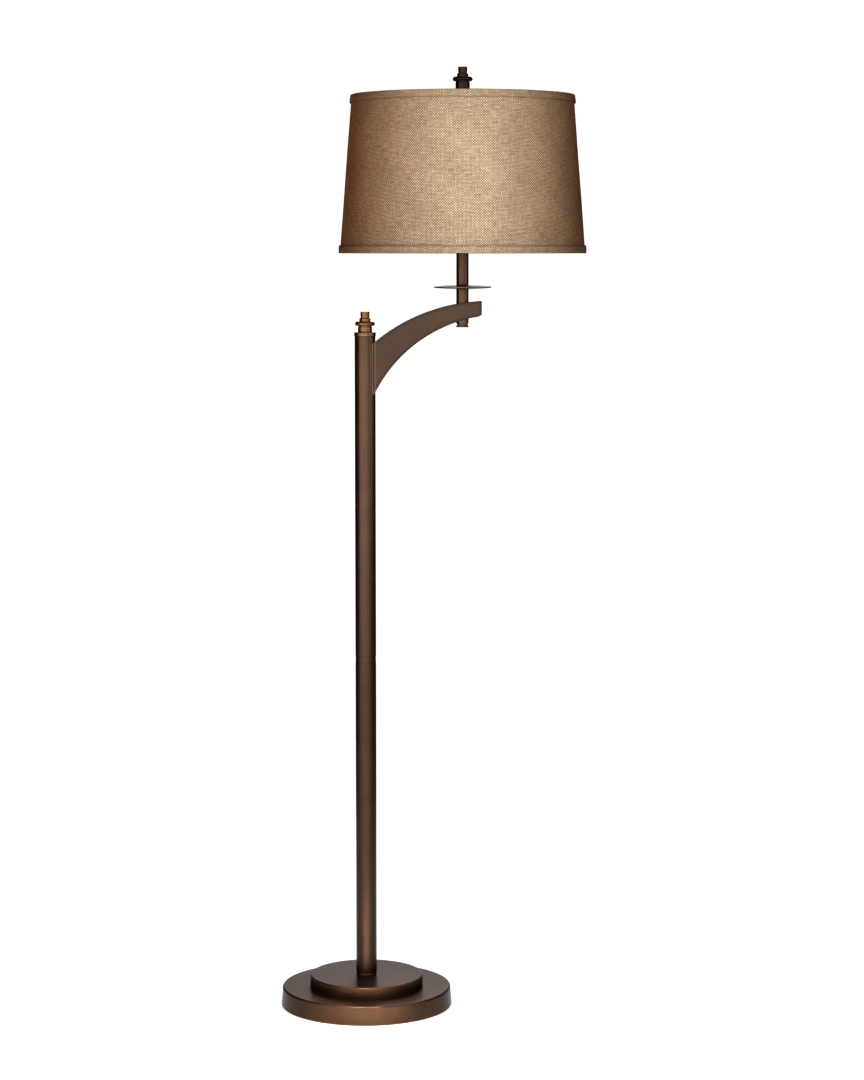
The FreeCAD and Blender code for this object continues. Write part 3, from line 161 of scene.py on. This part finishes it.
class Shader:
    """A new material, and short ways to add nodes to it."""

    def __init__(self, name):
        self.material = bpy.data.materials.new(name)
        self.material.use_nodes = True
        self.nodes = self.material.node_tree.nodes
        self.links = self.material.node_tree.links
        self.surface = self.nodes["Principled BSDF"]

    def put(self, socket, value):
        """A number, a colour or another node's output, into a socket."""
        if isinstance(value, bpy.types.NodeSocket):
            self.links.new(value, socket)
        else:
            socket.default_value = value

    def set(self, **values):
        """Values for the surface's sockets, by their names with _ for a space."""
        for name, value in values.items():
            self.put(self.surface.inputs[name.replace("_", " ")], value)

    def place(self):
        return self.nodes.new("ShaderNodeTexCoord").outputs["Object"]

    def map(self, name):
        node = self.nodes.new("ShaderNodeUVMap")
        node.uv_map = name
        return node.outputs["UV"]

    def vector_math(self, operation, first, second=(0.0, 0.0, 0.0), result="Vector"):
        node = self.nodes.new("ShaderNodeVectorMath")
        node.operation = operation
        self.put(node.inputs[0], first)
        self.put(node.inputs[1], second)
        return node.outputs[result]

    def parts(self, vector):
        node = self.nodes.new("ShaderNodeSeparateXYZ")
        self.put(node.inputs[0], vector)
        return node.outputs

    def math(self, operation, first, second=0.0, third=0.0):
        node = self.nodes.new("ShaderNodeMath")
        node.operation = operation
        for socket, value in zip(node.inputs, (first, second, third)):
            self.put(socket, value)
        return node.outputs["Value"]

    def varied(self, middle, spread, value):
        """A number that goes through its spread, around the middle, as value goes from 0 to 1."""
        return self.math("MULTIPLY_ADD", value, spread, middle - spread / 2)

    def weighed(self, *terms, start=0.0):
        """The sum of start and every value times its share."""
        total = start
        for value, share in terms:
            total = self.math("MULTIPLY_ADD", value, share, total)
        return total

    def noise(self, vector, scale, detail=3.0, roughness=0.55):
        node = self.nodes.new("ShaderNodeTexNoise")
        self.put(node.inputs["Vector"], vector)
        self.put(node.inputs["Scale"], scale)
        self.put(node.inputs["Detail"], detail)
        self.put(node.inputs["Roughness"], roughness)
        return node.outputs["Fac"]

    def ramp(self, value, *stops):
        """Colours at places from 0 to 1: each stop is a place and its colour."""
        node = self.nodes.new("ShaderNodeValToRGB")
        marks = node.color_ramp.elements
        while len(marks) < len(stops):
            marks.new(1.0)
        for mark, (place, colour) in zip(marks, stops):
            mark.position = place
            mark.color = (*colour, 1.0)
        self.put(node.inputs["Fac"], value)
        return node.outputs["Color"]

    def span(self, value, low, high, first, last):
        """Value from low to high becomes first to last."""
        node = self.nodes.new("ShaderNodeMapRange")
        for socket, number in zip(node.inputs, (value, low, high, first, last)):
            self.put(socket, number)
        return node.outputs["Result"]

    def either(self, share, first, second):
        """The first number where share is 0, and the second where it is 1."""
        node = self.nodes.new("ShaderNodeMix")
        for index, value in ((0, share), (2, first), (3, second)):
            self.put(node.inputs[index], value)
        return node.outputs[0]

    def mixed(self, share, first, second):
        """The first colour where share is 0, and the second where it is 1."""
        node = self.nodes.new("ShaderNodeMix")
        node.data_type = "RGBA"
        self.put(node.inputs["Factor"], share)
        for name, value in (("A", first), ("B", second)):
            socket = [s for s in node.inputs if s.name == name and s.type == "RGBA"][0]
            self.put(socket, (*value, 1.0) if isinstance(value, tuple) else value)
        return [s for s in node.outputs if s.type == "RGBA"][0]

    def edges(self, radius):
        """How close a sharp edge is, from 0 up, and a normal that turns smoothly over it."""
        bevel = self.nodes.new("ShaderNodeBevel")
        bevel.samples = EDGE_SAMPLES
        bevel.inputs["Radius"].default_value = radius
        rounded = bevel.outputs["Normal"]
        level = self.nodes.new("ShaderNodeNewGeometry").outputs["Normal"]
        same = self.vector_math("DOT_PRODUCT", rounded, level, result="Value")
        return self.math("SUBTRACT", 1.0, same), rounded

    def bump(self, height, depth, strength, normal=None):
        node = self.nodes.new("ShaderNodeBump")
        if normal:
            self.put(node.inputs["Normal"], normal)
        self.put(node.inputs["Height"], height)
        self.put(node.inputs["Distance"], depth)
        self.put(node.inputs["Strength"], strength)
        self.put(self.surface.inputs["Normal"], node.outputs["Normal"])


def darker(colour, share):
    return tuple(share * part for part in colour)


def bronze(name, skin_colours, painted_edge_colour, reach, roughness=SATIN, weld_to=None, sharp=False):
    """Rubbed bronze: a brown skin with faint coppery clouds, a painted tone along its edges (dark for
    painted shadow lines, pale for a painted highlight that is partly rubbed wear), a soft shine.

    Up to weld_to along X, the skin is painted paler: a painted highlight on the weld strip. Sharp edges
    catch no light."""
    dark, middle, light = skin_colours
    shader = Shader(name)
    place = shader.place()
    drift = shader.noise(place, scale=6.0, detail=2.0)
    clouds = shader.noise(place, scale=38.0, detail=5.0, roughness=0.6)
    grain = shader.noise(place, scale=1400.0, detail=2.0)
    near_edge, rounded = shader.edges(reach)
    tone = shader.weighed((clouds, 0.55), (drift, 0.45))
    skin = shader.ramp(tone, (0.34, dark), (0.5, middle), (0.68, light))
    # Painted edge tone: within reach of a sharp edge the skin turns to the edge colour, a painted shadow
    # line when dark, a painted highlight when pale.
    rim = shader.span(near_edge, low=0.01, high=0.10, first=0.0, last=0.85)
    colour = shader.mixed(rim, skin, painted_edge_colour)
    # Painted highlight: the weld strip beside the pole is painted paler than the skin.
    if weld_to:
        across, _, _ = shader.parts(place)
        on_weld = shader.span(across, weld_to - WELD_FADE, weld_to, 1.0, 0.0)
        colour = shader.mixed(on_weld, colour, tuple(WELD_HIGHLIGHT_PALER * part for part in light))
    shader.set(
        Base_Color=colour,
        Metallic=0.8,
        Roughness=shader.weighed((grain, 0.06), start=shader.varied(roughness, 0.08, clouds)),
        Specular_Tint=BRONZE_GRAZING,
        Coat_Weight=0.8,
        Coat_Roughness=0.3,
    )
    shader.bump(grain, depth=0.02 * MM, strength=0.3, normal=None if sharp else rounded)
    return shader.material


def plated(name, colour, roughness):
    """Plain plated or bare metal with a faint grain."""
    shader = Shader(name)
    place = shader.place()
    grain = shader.noise(place, scale=900.0)
    spots = shader.noise(place, scale=60.0, detail=4.0)
    shader.set(
        Base_Color=shader.ramp(spots, (0.35, darker(colour, 0.72)), (0.62, colour)),
        Metallic=1.0,
        Roughness=shader.varied(roughness, 0.18, spots),
    )
    shader.bump(grain, depth=0.02 * MM, strength=0.3)
    return shader.material


def moulded(name, colour, roughness):
    """Moulded plastic: even, with a faint orange skin."""
    shader = Shader(name)
    place = shader.place()
    skin = shader.noise(place, scale=420.0, detail=2.0)
    tone = shader.noise(place, scale=35.0)
    shader.set(
        Base_Color=shader.ramp(tone, (0.3, darker(colour, 0.8)), (0.7, colour)),
        Roughness=shader.varied(roughness, 0.14, skin),
    )
    shader.bump(skin, depth=0.03 * MM, strength=0.4)
    return shader.material


def felt(name, colour):
    """Pressed felt: short fibres, in faint blotches."""
    shader = Shader(name)
    place = shader.place()
    fibre = shader.noise(place, scale=1100.0, detail=6.0, roughness=0.7)
    blotch = shader.noise(place, scale=70.0)
    tone = shader.weighed((blotch, 0.3), (fibre, 0.7))
    shader.set(
        Base_Color=shader.ramp(tone, (0.3, darker(colour, 0.45)), (0.7, colour)),
        Roughness=0.95,
        Sheen_Weight=0.3,
        Sheen_Roughness=0.5,
    )
    shader.bump(fibre, depth=0.3 * MM, strength=0.7)
    return shader.material


def cast_iron(name):
    """Bare casting: pitted, with a breath of rust."""
    shader = Shader(name)
    place = shader.place()
    pits = shader.noise(place, scale=520.0, detail=4.0, roughness=0.65)
    rust = shader.noise(place, scale=30.0, detail=5.0)
    grey, rusty = IRON
    shader.set(
        Base_Color=shader.ramp(rust, (0.4, grey), (0.72, rusty)),
        Metallic=0.55,
        Roughness=shader.varied(0.65, 0.2, pits),
    )
    shader.bump(pits, depth=0.3 * MM, strength=0.6)
    return shader.material


def frosted(name):
    """White powder inside clear glass: soft white under a smooth outer skin."""
    shader = Shader(name)
    powder = shader.noise(shader.place(), scale=260.0)
    thin, thick = FROST
    shader.set(
        Base_Color=shader.ramp(powder, (0.3, thin), (0.7, thick)),
        Roughness=0.12,
        Coat_Weight=0.6,
        Coat_Roughness=0.04,
        Subsurface_Weight=0.25,
        Subsurface_Radius=(0.006, 0.006, 0.005),
        Subsurface_Scale=1.0,
    )
    return shader.material


def liner_plastic(name):
    """Off-white plastic backing of the shade, with the weave faintly telegraphed through."""
    shader = Shader(name)
    place = shader.place()
    upright = shader.vector_math("MULTIPLY", place, (1.0, 1.0, 0.35))
    weave = shader.noise(upright, scale=520.0, detail=2.0)
    cloud = shader.noise(place, scale=14.0)
    yellowed, clean = BACKING
    shader.set(
        Base_Color=shader.ramp(cloud, (0.35, yellowed), (0.65, clean)),
        Roughness=shader.varied(0.455, 0.15, weave),
        Subsurface_Weight=0.1,
        Subsurface_Radius=(0.003, 0.003, 0.002),
    )
    shader.bump(weave, depth=0.08 * MM, strength=0.4)
    return shader.material


def thread_places(shader, flat):
    """The flat-cut coordinates in threads, swaying a little: across the warp, and along it."""
    elsewhere = shader.vector_math("ADD", flat, (7.3, 2.9, 0.0))
    sways = [shader.noise(place, scale=55.0, detail=2.0) for place in (flat, elsewhere)]
    places = []
    for part, sway in zip(shader.parts(flat), sways):
        moved = shader.math("ADD", part, shader.varied(0.0, THREAD_SWAY, sway))
        places.append(shader.math("DIVIDE", moved, THREAD_PITCH))
    return places


def thread_heights(shader, places):
    """How high the warp's and the weft's threads stand, each dipping under the other."""
    turns = [shader.math("MULTIPLY", shader.math("FRACT", place), math.pi) for place in places]
    warp, weft = [shader.math("SINE", turn) for turn in turns]

    def hump(over, under):
        dip = shader.math("MULTIPLY_ADD", under, THREAD_DIP, 1 - THREAD_DIP)
        return shader.math("MULTIPLY", over, dip)

    return hump(warp, weft), hump(weft, warp)


def slubs(shader, flat):
    """Thick and thin runs along the warp's and the weft's threads."""
    across, along = 1 / THREAD_PITCH, 1 / SLUB_RUN
    stretches = (across, along, 1.0), (along, across, 1.0)
    return [shader.noise(shader.vector_math("MULTIPLY", flat, stretch), scale=1.0, detail=2.0)
            for stretch in stretches]


def burlap(name, colours, shadow_lined=False):
    """Plain jute weave laid out in the cloth's own flat-cut coordinates, in metres.

    A cloth so marked gets a painted shadow: a dark line just inside the free edge, where its second
    coordinate is 0."""
    gap, shade, thread, pale = colours
    shader = Shader(name)
    flat = shader.map("flat_cut")
    places = thread_places(shader, flat)
    warp_number, weft_number = [shader.math("FLOOR", place) for place in places]
    crossing = shader.math("ADD", warp_number, weft_number)
    weft_on_top = shader.math("FLOORED_MODULO", crossing, 2.0)
    height = shader.either(weft_on_top, *thread_heights(shader, places))
    slub = shader.either(weft_on_top, *slubs(shader, flat))
    family = shader.varied(0.0, WEFT_PALER, weft_on_top)
    fibre = shader.noise(flat, scale=2600.0, roughness=0.7)
    stain = shader.noise(flat, scale=18.0)
    # Thread height also darkens the colour where threads dip under each other: painted shade in the
    # weave's hollows, beside the real slubs, fibres and stains.
    shares = (slub, 0.38), (height, 0.24), (family, 1.0), (fibre, 0.16), (stain, 0.08)
    tone = shader.weighed(*shares, start=0.02)
    colour = shader.ramp(tone, (0.16, gap), (0.36, shade), (0.58, thread), (0.82, pale))
    # Painted shadow: a dark line just inside the free edge, broken up by the stain noise.
    if shadow_lined:
        _, inward, _ = shader.parts(flat)
        away = shader.math("ABSOLUTE", shader.math("SUBTRACT", inward, EDGE_SHADOW_PLACE))
        edge_shadow = shader.span(away, EDGE_SHADOW_WIDTH / 3, EDGE_SHADOW_WIDTH, 1.0, 0.0)
        colour = shader.mixed(shader.math("MULTIPLY", edge_shadow, stain), colour, shade)
    shader.set(Base_Color=colour, Roughness=0.88, Specular_IOR_Level=0.15)
    relief = shader.weighed((fibre, 0.15), start=height)
    shader.bump(relief, depth=WEAVE_RELIEF, strength=1.0)
    return shader.material


def dress(finishes):
    """Every CAD node gets the finish of the slot that its faces' material names."""
    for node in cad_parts.values():
        for mesh_slot in node.material_slots:
            slot = mesh_slot.material.name
            if slot in finishes:
                mesh_slot.material = finishes[slot]


def refinish(finish, *names):
    """A finish of their own for some of the CAD nodes."""
    for name in names:
        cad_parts[name].material_slots[0].material = finish


def wall_radii(name):
    """A round CAD piece's centre, outer radii at top and bottom, inner radius, lowest and highest Z."""
    low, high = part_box(name)
    centre = Vector(((low.x + high.x) / 2, (low.y + high.y) / 2, 0))
    points = [vertex.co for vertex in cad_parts[name].data.vertices]
    reach = [(math.hypot(point.x - centre.x, point.y - centre.y), point.z) for point in points]
    top = max(radius for radius, z in reach if z > high.z - RIM_NEAR)
    bottom = max(radius for radius, z in reach if z < low.z + RIM_NEAR)
    inner = min(radius for radius, _ in reach)
    return centre, top, bottom, inner, low.z, high.z


def new_piece(name, points, faces, uvs, finish, body):
    """A smooth mesh piece with its flat-cut coordinates, riding on a body."""
    mesh = bpy.data.meshes.new(name)
    mesh.from_pydata(points, [], faces)
    layer = mesh.uv_layers.new(name="flat_cut")
    for face in mesh.polygons:
        face.use_smooth = True
        for corner in face.loop_indices:
            layer.data[corner].uv = uvs[face.index][corner - face.loop_start]
    mesh.materials.append(finish)
    piece = bpy.data.objects.new(name, mesh)
    bpy.context.scene.collection.objects.link(piece)
    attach(piece, body)
    return piece


def around_point(centre, radius, angle, height):
    """Angle 0 faces the front, and it grows towards the right."""
    return (centre.x + radius * math.sin(angle), centre.y - radius * math.cos(angle), height)


def smooth_step(value):
    value = min(max(value, 0.0), 1.0)
    return value * value * (3 - 2 * value)


def cover_faces():
    """Corners of the cover's outside, inside, upper and lower edges, and its two upright ends."""
    row_length = COVER_ROWS + 1
    inner = (STEPS_AROUND + 1) * row_length
    faces = []
    for step in range(STEPS_AROUND):
        for row in range(COVER_ROWS):
            a = step * row_length + row
            b = a + row_length
            faces.append((a, a + 1, b + 1, b))
            faces.append((a + inner, b + inner, b + 1 + inner, a + 1 + inner))
        for row in (0, COVER_ROWS):
            a = step * row_length + row
            b = a + row_length
            corners = (a, b, b + inner, a + inner)
            faces.append(corners if row == 0 else corners[::-1])
    for step in (0, STEPS_AROUND):
        for row in range(COVER_ROWS):
            a = step * row_length + row
            corners = (a, a + inner, a + 1 + inner, a + 1)
            faces.append(corners if step == 0 else corners[::-1])
    return faces


def make_cover(finish):
    """The burlap, cut as a sector, wrapped round the liner and lapped at the back."""
    centre, top, bottom, _, low, high = wall_radii("shade_cover")
    slant = math.hypot(high - low, bottom - top)
    turn = (bottom - top) / slant
    apex = top / turn
    lap = COVER_LAP / bottom

    def surface_point(step, row, inward):
        angle = -math.pi + (2 * math.pi + lap) * step / STEPS_AROUND
        share = row / COVER_ROWS
        lift = (COVER_THICKNESS + COVER_CLEARANCE) * smooth_step((angle - math.pi + lap) / lap)
        ripples = [math.sin(waves * angle + lean * share + phase) for waves, lean, phase in COVER_RIPPLES]
        ripple = sum(ripples) * math.sin(math.pi * share) * COVER_RIPPLE
        radius = top + (bottom - top) * share + lift + ripple - inward
        along = apex + slant * share
        cut = (along * math.sin(angle * turn), along * math.cos(angle * turn))
        return around_point(centre, radius, angle, high + (low - high) * share), cut

    points, cuts = [], []
    for inward in (0.0, COVER_THICKNESS):
        for step in range(STEPS_AROUND + 1):
            for row in range(COVER_ROWS + 1):
                point, cut = surface_point(step, row, inward)
                points.append(point)
                cuts.append(cut)
    faces = cover_faces()
    uvs = [[cuts[corner] for corner in corners] for corners in faces]
    cover = new_piece("burlap_cover", points, faces, uvs, finish, "shade")
    half_turn = (math.pi + lap / 2) * turn
    width = 2 * (apex + slant) * math.sin(half_turn)
    length = apex + slant - apex * math.cos(half_turn)
    area = half_turn * ((apex + slant) ** 2 - apex ** 2)
    return cover, (width, length), area


def trim_section(skin, tall, inner):
    """The band's section, once round its edge: radius, distance from the shade's edge, whether the lap
    lifts it, and whether it waves with the free edge."""
    fold = TRIM_FOLD
    return [
        (skin(fold) - TRIM_THICKNESS, fold, False, False),
        (skin(tall) - TRIM_THICKNESS, tall, False, True),
        (skin(tall) - 0.3 * fold, tall, True, True),
        (skin(tall), tall - 0.5 * fold, True, True),
        (skin(tall / 2) + TRIM_BULGE, tall / 2, True, False),
        (skin(fold), fold, True, False),
        (skin(0) - 0.15 * fold, 0.3 * fold, True, False),
        (skin(0) - 0.6 * fold, 0.0, False, False),
        (inner + 0.6 * fold, 0.0, False, False),
        (inner + 0.1 * fold, 0.4 * fold, False, False),
        (inner, TRIM_TURN_IN, False, False),
        (inner + fold, TRIM_TURN_IN, False, False),
        (inner + fold, fold, False, False),
    ]


def distances_round(section):
    """How far each point of the section, and the first once more, is from the free edge along it."""
    distances = [0.0]
    for (radius, depth, *_), (next_radius, next_depth, *_) in zip(section, section[1:] + section[:1]):
        distances.append(distances[-1] + math.hypot(next_radius - radius, next_depth - depth))
    return [distance - distances[TRIM_FREE_EDGE] for distance in distances]


def make_trim(name, node, finish, upwards):
    """A folded burlap band over one edge of the shade, lapped at the back."""
    centre, top, bottom, inner, low, high = wall_radii(node)
    edge, far = (high, low) if upwards else (low, high)
    edge_radius, far_radius = (top, bottom) if upwards else (bottom, top)
    inwards = -1 if upwards else 1
    tall = abs(far - edge)
    slope = (far_radius - edge_radius) / tall

    def skin(depth):
        return edge_radius + 0.5 * TRIM_FOLD + slope * depth

    section = trim_section(skin, tall, inner)
    distances = distances_round(section)
    count = len(section)
    lap = TRIM_LAP / edge_radius
    points, faces, uvs = [], [], []
    for step in range(STEPS_AROUND):
        angle = -math.pi + 2 * math.pi * step / STEPS_AROUND
        rise = TRIM_LAP_RISE * smooth_step((angle - math.pi + 2 * lap) / lap)
        wave = TRIM_WAVE * sum(math.sin(waves * angle + phase) for waves, phase in TRIM_WAVES)
        for radius, depth, lapped, waving in section:
            radius = radius + (rise if lapped else 0.0)
            depth = depth + (wave if waving else 0.0)
            points.append(around_point(centre, radius, angle, edge + inwards * depth))
    for step in range(STEPS_AROUND):
        here, after = step * count, (step + 1) % STEPS_AROUND * count
        start, end = [2 * math.pi * edge_radius * s / STEPS_AROUND for s in (step, step + 1)]
        for index in range(count):
            other = (index + 1) % count
            this, following = distances[index], distances[index + 1]
            corners = [here + index, after + index, after + other, here + other]
            cut = [(start, this), (end, this), (end, following), (start, following)]
            if upwards:
                corners, cut = corners[::-1], cut[::-1]
            faces.append(corners)
            uvs.append(cut)
    return new_piece(name, points, faces, uvs, finish, "shade")


def floor_paint():
    """Pale paint near the lamp, turning into the glow of the surroundings, and clear from below."""
    shader = Shader("floor_paint")
    place = shader.place()
    away = shader.vector_math("LENGTH", place, result="Value")
    tone = shader.noise(place, scale=0.8, detail=2.0)
    dull, clean = FLOOR_PAINT
    painted = shader.span(away, FLOOR_PAINTED, FLOOR_BLENDED, 1.0, 0.0)
    shader.set(
        Base_Color=shader.mixed(painted, BLACK, shader.ramp(tone, (0.3, dull), (0.7, clean))),
        Roughness=0.9,
        Specular_IOR_Level=0.0,
        Emission_Color=(*WHITE, 1.0),
        Emission_Strength=shader.span(away, FLOOR_PAINTED, FLOOR_BLENDED, FLOOR_GLOW, PALE),
    )
    side = shader.nodes.new("ShaderNodeNewGeometry")
    clear = shader.nodes.new("ShaderNodeBsdfTransparent")
    seen = shader.nodes.new("ShaderNodeMixShader")
    shader.put(seen.inputs[0], side.outputs["Backfacing"])
    shader.put(seen.inputs[1], shader.surface.outputs["BSDF"])
    shader.put(seen.inputs[2], clear.outputs["BSDF"])
    shader.put(shader.nodes["Material Output"].inputs["Surface"], seen.outputs["Shader"])
    return shader.material


def make_floor():
    """A pale disc under the lamp."""
    mesh = bpy.data.meshes.new("floor")
    turns = [2 * math.pi * step / FLOOR_STEPS for step in range(FLOOR_STEPS)]
    rim = [around_point(Vector(), FLOOR_RADIUS, turn, 0.0) for turn in turns]
    mesh.from_pydata(rim, [], [tuple(range(FLOOR_STEPS))])
    mesh.materials.append(floor_paint())
    floor = bpy.data.objects.new("floor", mesh)
    bpy.context.scene.collection.objects.link(floor)


def make_flag(name, angle):
    """A dark panel on a diagonal, out of the camera's sight, that gives round metal its dark edges."""
    side = Vector((math.cos(angle), math.sin(angle), 0)) * FLAG_WIDTH / 2
    middle = Vector(around_point(Vector(), FLAG_DISTANCE, angle, 0.0))
    up = Vector((0, 0, FLAG_HEIGHT))
    corners = [middle - side, middle + side, middle + side + up, middle - side + up]
    mesh = bpy.data.meshes.new(name)
    mesh.from_pydata(corners, [], [(0, 1, 2, 3)])
    shader = Shader("flag_cloth")
    shader.set(Base_Color=FLAG_CLOTH, Roughness=1.0, Specular_IOR_Level=0.0)
    mesh.materials.append(shader.material)
    flag = bpy.data.objects.new(name, mesh)
    flag.visible_camera = False
    flag.visible_shadow = False
    bpy.context.scene.collection.objects.link(flag)


def make_softbox(name, place, target, size, power, colour=WHITE, spread=180, only=()):
    """A rectangular light, aimed at a point. With only, it lights those pieces and nothing else."""
    data = bpy.data.lights.new(name, "AREA")
    data.shape = "RECTANGLE"
    data.size, data.size_y = size
    data.energy = power
    data.color = colour
    data.spread = math.radians(spread)
    light = bpy.data.objects.new(name, data)
    light.location = place
    aim = Vector(target) - Vector(place)
    light.rotation_euler = aim.to_track_quat("-Z", "Y").to_euler()
    light.visible_camera = False
    bpy.context.scene.collection.objects.link(light)
    if only:
        lit = bpy.data.collections.new(name + "_lights")
        for piece in only:
            lit.objects.link(piece)
        light.light_linking.receiver_collection = lit


def make_world():
    """A pale room: bright near the horizon, and dimmer overhead."""
    world = bpy.data.worlds.new("studio")
    world.use_nodes = True
    nodes, links = world.node_tree.nodes, world.node_tree.links
    direction = nodes.new("ShaderNodeTexCoord")
    parts = nodes.new("ShaderNodeSeparateXYZ")
    ramp = nodes.new("ShaderNodeValToRGB")
    links.new(direction.outputs["Generated"], parts.inputs[0])
    links.new(parts.outputs["Z"], ramp.inputs["Fac"])
    links.new(ramp.outputs["Color"], nodes["Background"].inputs["Color"])
    horizon, sky = ramp.color_ramp.elements
    horizon.position = PALE_UP_TO
    horizon.color = (*WHITE, 1.0)
    sky.position = DIM_FROM
    sky.color = DIM_SKY
    nodes["Background"].inputs["Strength"].default_value = PALE
    bpy.context.scene.world = world


def light_cloth(cloth):
    """The shade's soft bright middle, its amber sides and its back."""
    make_softbox("cloth_key", place=(0.195, -0.6, 1.38), target=SHADE_MIDDLE,
                 size=(0.12, 0.45), power=3.0, colour=COOL, only=cloth)
    make_softbox("cloth_left", place=(-0.75, -0.25, 1.36), target=SHADE_MIDDLE,
                 size=(0.4, 0.4), power=1.15, colour=AMBER, only=cloth)
    make_softbox("cloth_right", place=(1.05, -0.25, 1.36), target=SHADE_MIDDLE,
                 size=(0.4, 0.4), power=0.75, colour=AMBER, only=cloth)
    make_softbox("cloth_back", place=(0.157, 0.9, 1.38), target=SHADE_MIDDLE,
                 size=(0.5, 0.5), power=2.4, colour=WARM, only=cloth)


def light_metal(metal, base):
    """The broad shine of the metal, its weaker one on the right, and the rims of the base."""
    make_softbox("metal_panel", place=(-0.5, -1.15, 1.1), target=(0.0, 0.0, 1.05),
                 size=(4.0, 1.3), power=18.5, colour=WARM, only=metal)
    make_softbox("metal_side", place=(1.25, -0.42, 1.25), target=(0.0, 0.0, 1.2),
                 size=(0.9, 1.0), power=4.0, colour=WARM, only=metal)
    make_softbox("rim_light", place=(0.0, -0.5, 2.6), target=(0.0, -0.13, 0.03),
                 size=(0.5, 0.2), power=14.0, colour=WARM, only=base)


def light_room():
    """A warm pool before the base, and soft light from above and behind."""
    make_softbox("floor_pool", place=(0.0, -0.62, 1.3), target=(0.0, -0.45, 0.0),
                 size=(0.2, 0.2), power=2.4, colour=COPPER, spread=30)
    make_softbox("overhead", place=(0.2, -0.3, 3.6), target=(0.1, 0.0, 0.0),
                 size=(2.4, 2.4), power=9.0)
    make_softbox("back_fill", place=(0.4, 2.4, 2.4), target=(0.1, 0.0, 0.8),
                 size=(1.6, 1.6), power=30.0, colour=SKY)


make_camera()

dress({
    "bronze": bronze("rubbed_bronze", BRONZE, BRONZE_SHADOW, EDGE_REACH),
    "gold_bronze": bronze("gold_bronze", GOLD_BRONZE, BRONZE_SHADOW, TURNED_EDGE_REACH, POLISHED),
    "plain_steel": plated("zinc_steel", (0.52, 0.53, 0.54), 0.34),
    "cast_weight": cast_iron("cast_weight"),
    "felt": felt("black_felt", (0.030, 0.028, 0.027)),
    "black_plastic": moulded("black_plastic", (0.018, 0.016, 0.015), 0.42),
    "socket_brass": plated("socket_brass", (0.62, 0.42, 0.17), 0.30),
    "fibre_liner": moulded("fibre_liner", (0.42, 0.33, 0.22), 0.8),
    "bulb_metal": plated("bulb_cap_metal", (0.62, 0.62, 0.61), 0.28),
    "frosted_glass": frosted("frosted_glass"),
    "shade_backing": liner_plastic("shade_backing"),
})
weld_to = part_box("upper_pole")[1].x + WELD_WIDTH
refinish(bronze("arm_shaded_bronze", ARM_SHADED_BRONZE, BRONZE_SHADOW, ARM_EDGE_REACH, weld_to=weld_to, sharp=True),
         "bridge_arm")
refinish(bronze("base_bronze", BASE_BRONZE, BRONZE_WEAR_AND_HIGHLIGHT, BASE_EDGE_REACH),
         "base_shell", "base_step")
refinish(bronze("turned_bronze", BRONZE, BRONZE_SHADOW, TURNED_EDGE_REACH),
         "pole_coupler", "arm_collar", "post_nut")
refinish(bronze("shaded_finial_bronze", SHADED_FINIAL_BRONZE, BRONZE_SHADOW, TURNED_EDGE_REACH),
         "shade_finial")
refinish(bronze("lit_finial_bronze", LIT_FINIAL_BRONZE, BRONZE_WEAR_AND_HIGHLIGHT, TURNED_EDGE_REACH),
         "pole_finial", "pole_cap", "pole_foot_ring")

cover_cloth = burlap("burlap_weave", COVER_JUTE)
trim_cloth = burlap("burlap_tape", TRIM_JUTE, shadow_lined=True)
cover, cover_flat, cover_area = make_cover(cover_cloth)
top_tape = make_trim("top_tape", "shade_top_trim", trim_cloth, upwards=True)
bottom_tape = make_trim("bottom_tape", "shade_bottom_trim", trim_cloth, upwards=False)
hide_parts("shade_cover")
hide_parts("shade_top_trim")
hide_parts("shade_bottom_trim")

make_floor()
make_world()
light_cloth([cover, top_tape, bottom_tape])
light_metal(list(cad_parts.values()), [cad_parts[name] for name in ("base_shell", "base_step")])
light_room()
for name, angle in FLAGS.items():
    make_flag(name, math.radians(angle))
bpy.context.scene.view_settings.view_transform = "Standard"
bpy.context.scene.view_settings.look = "Very High Contrast"
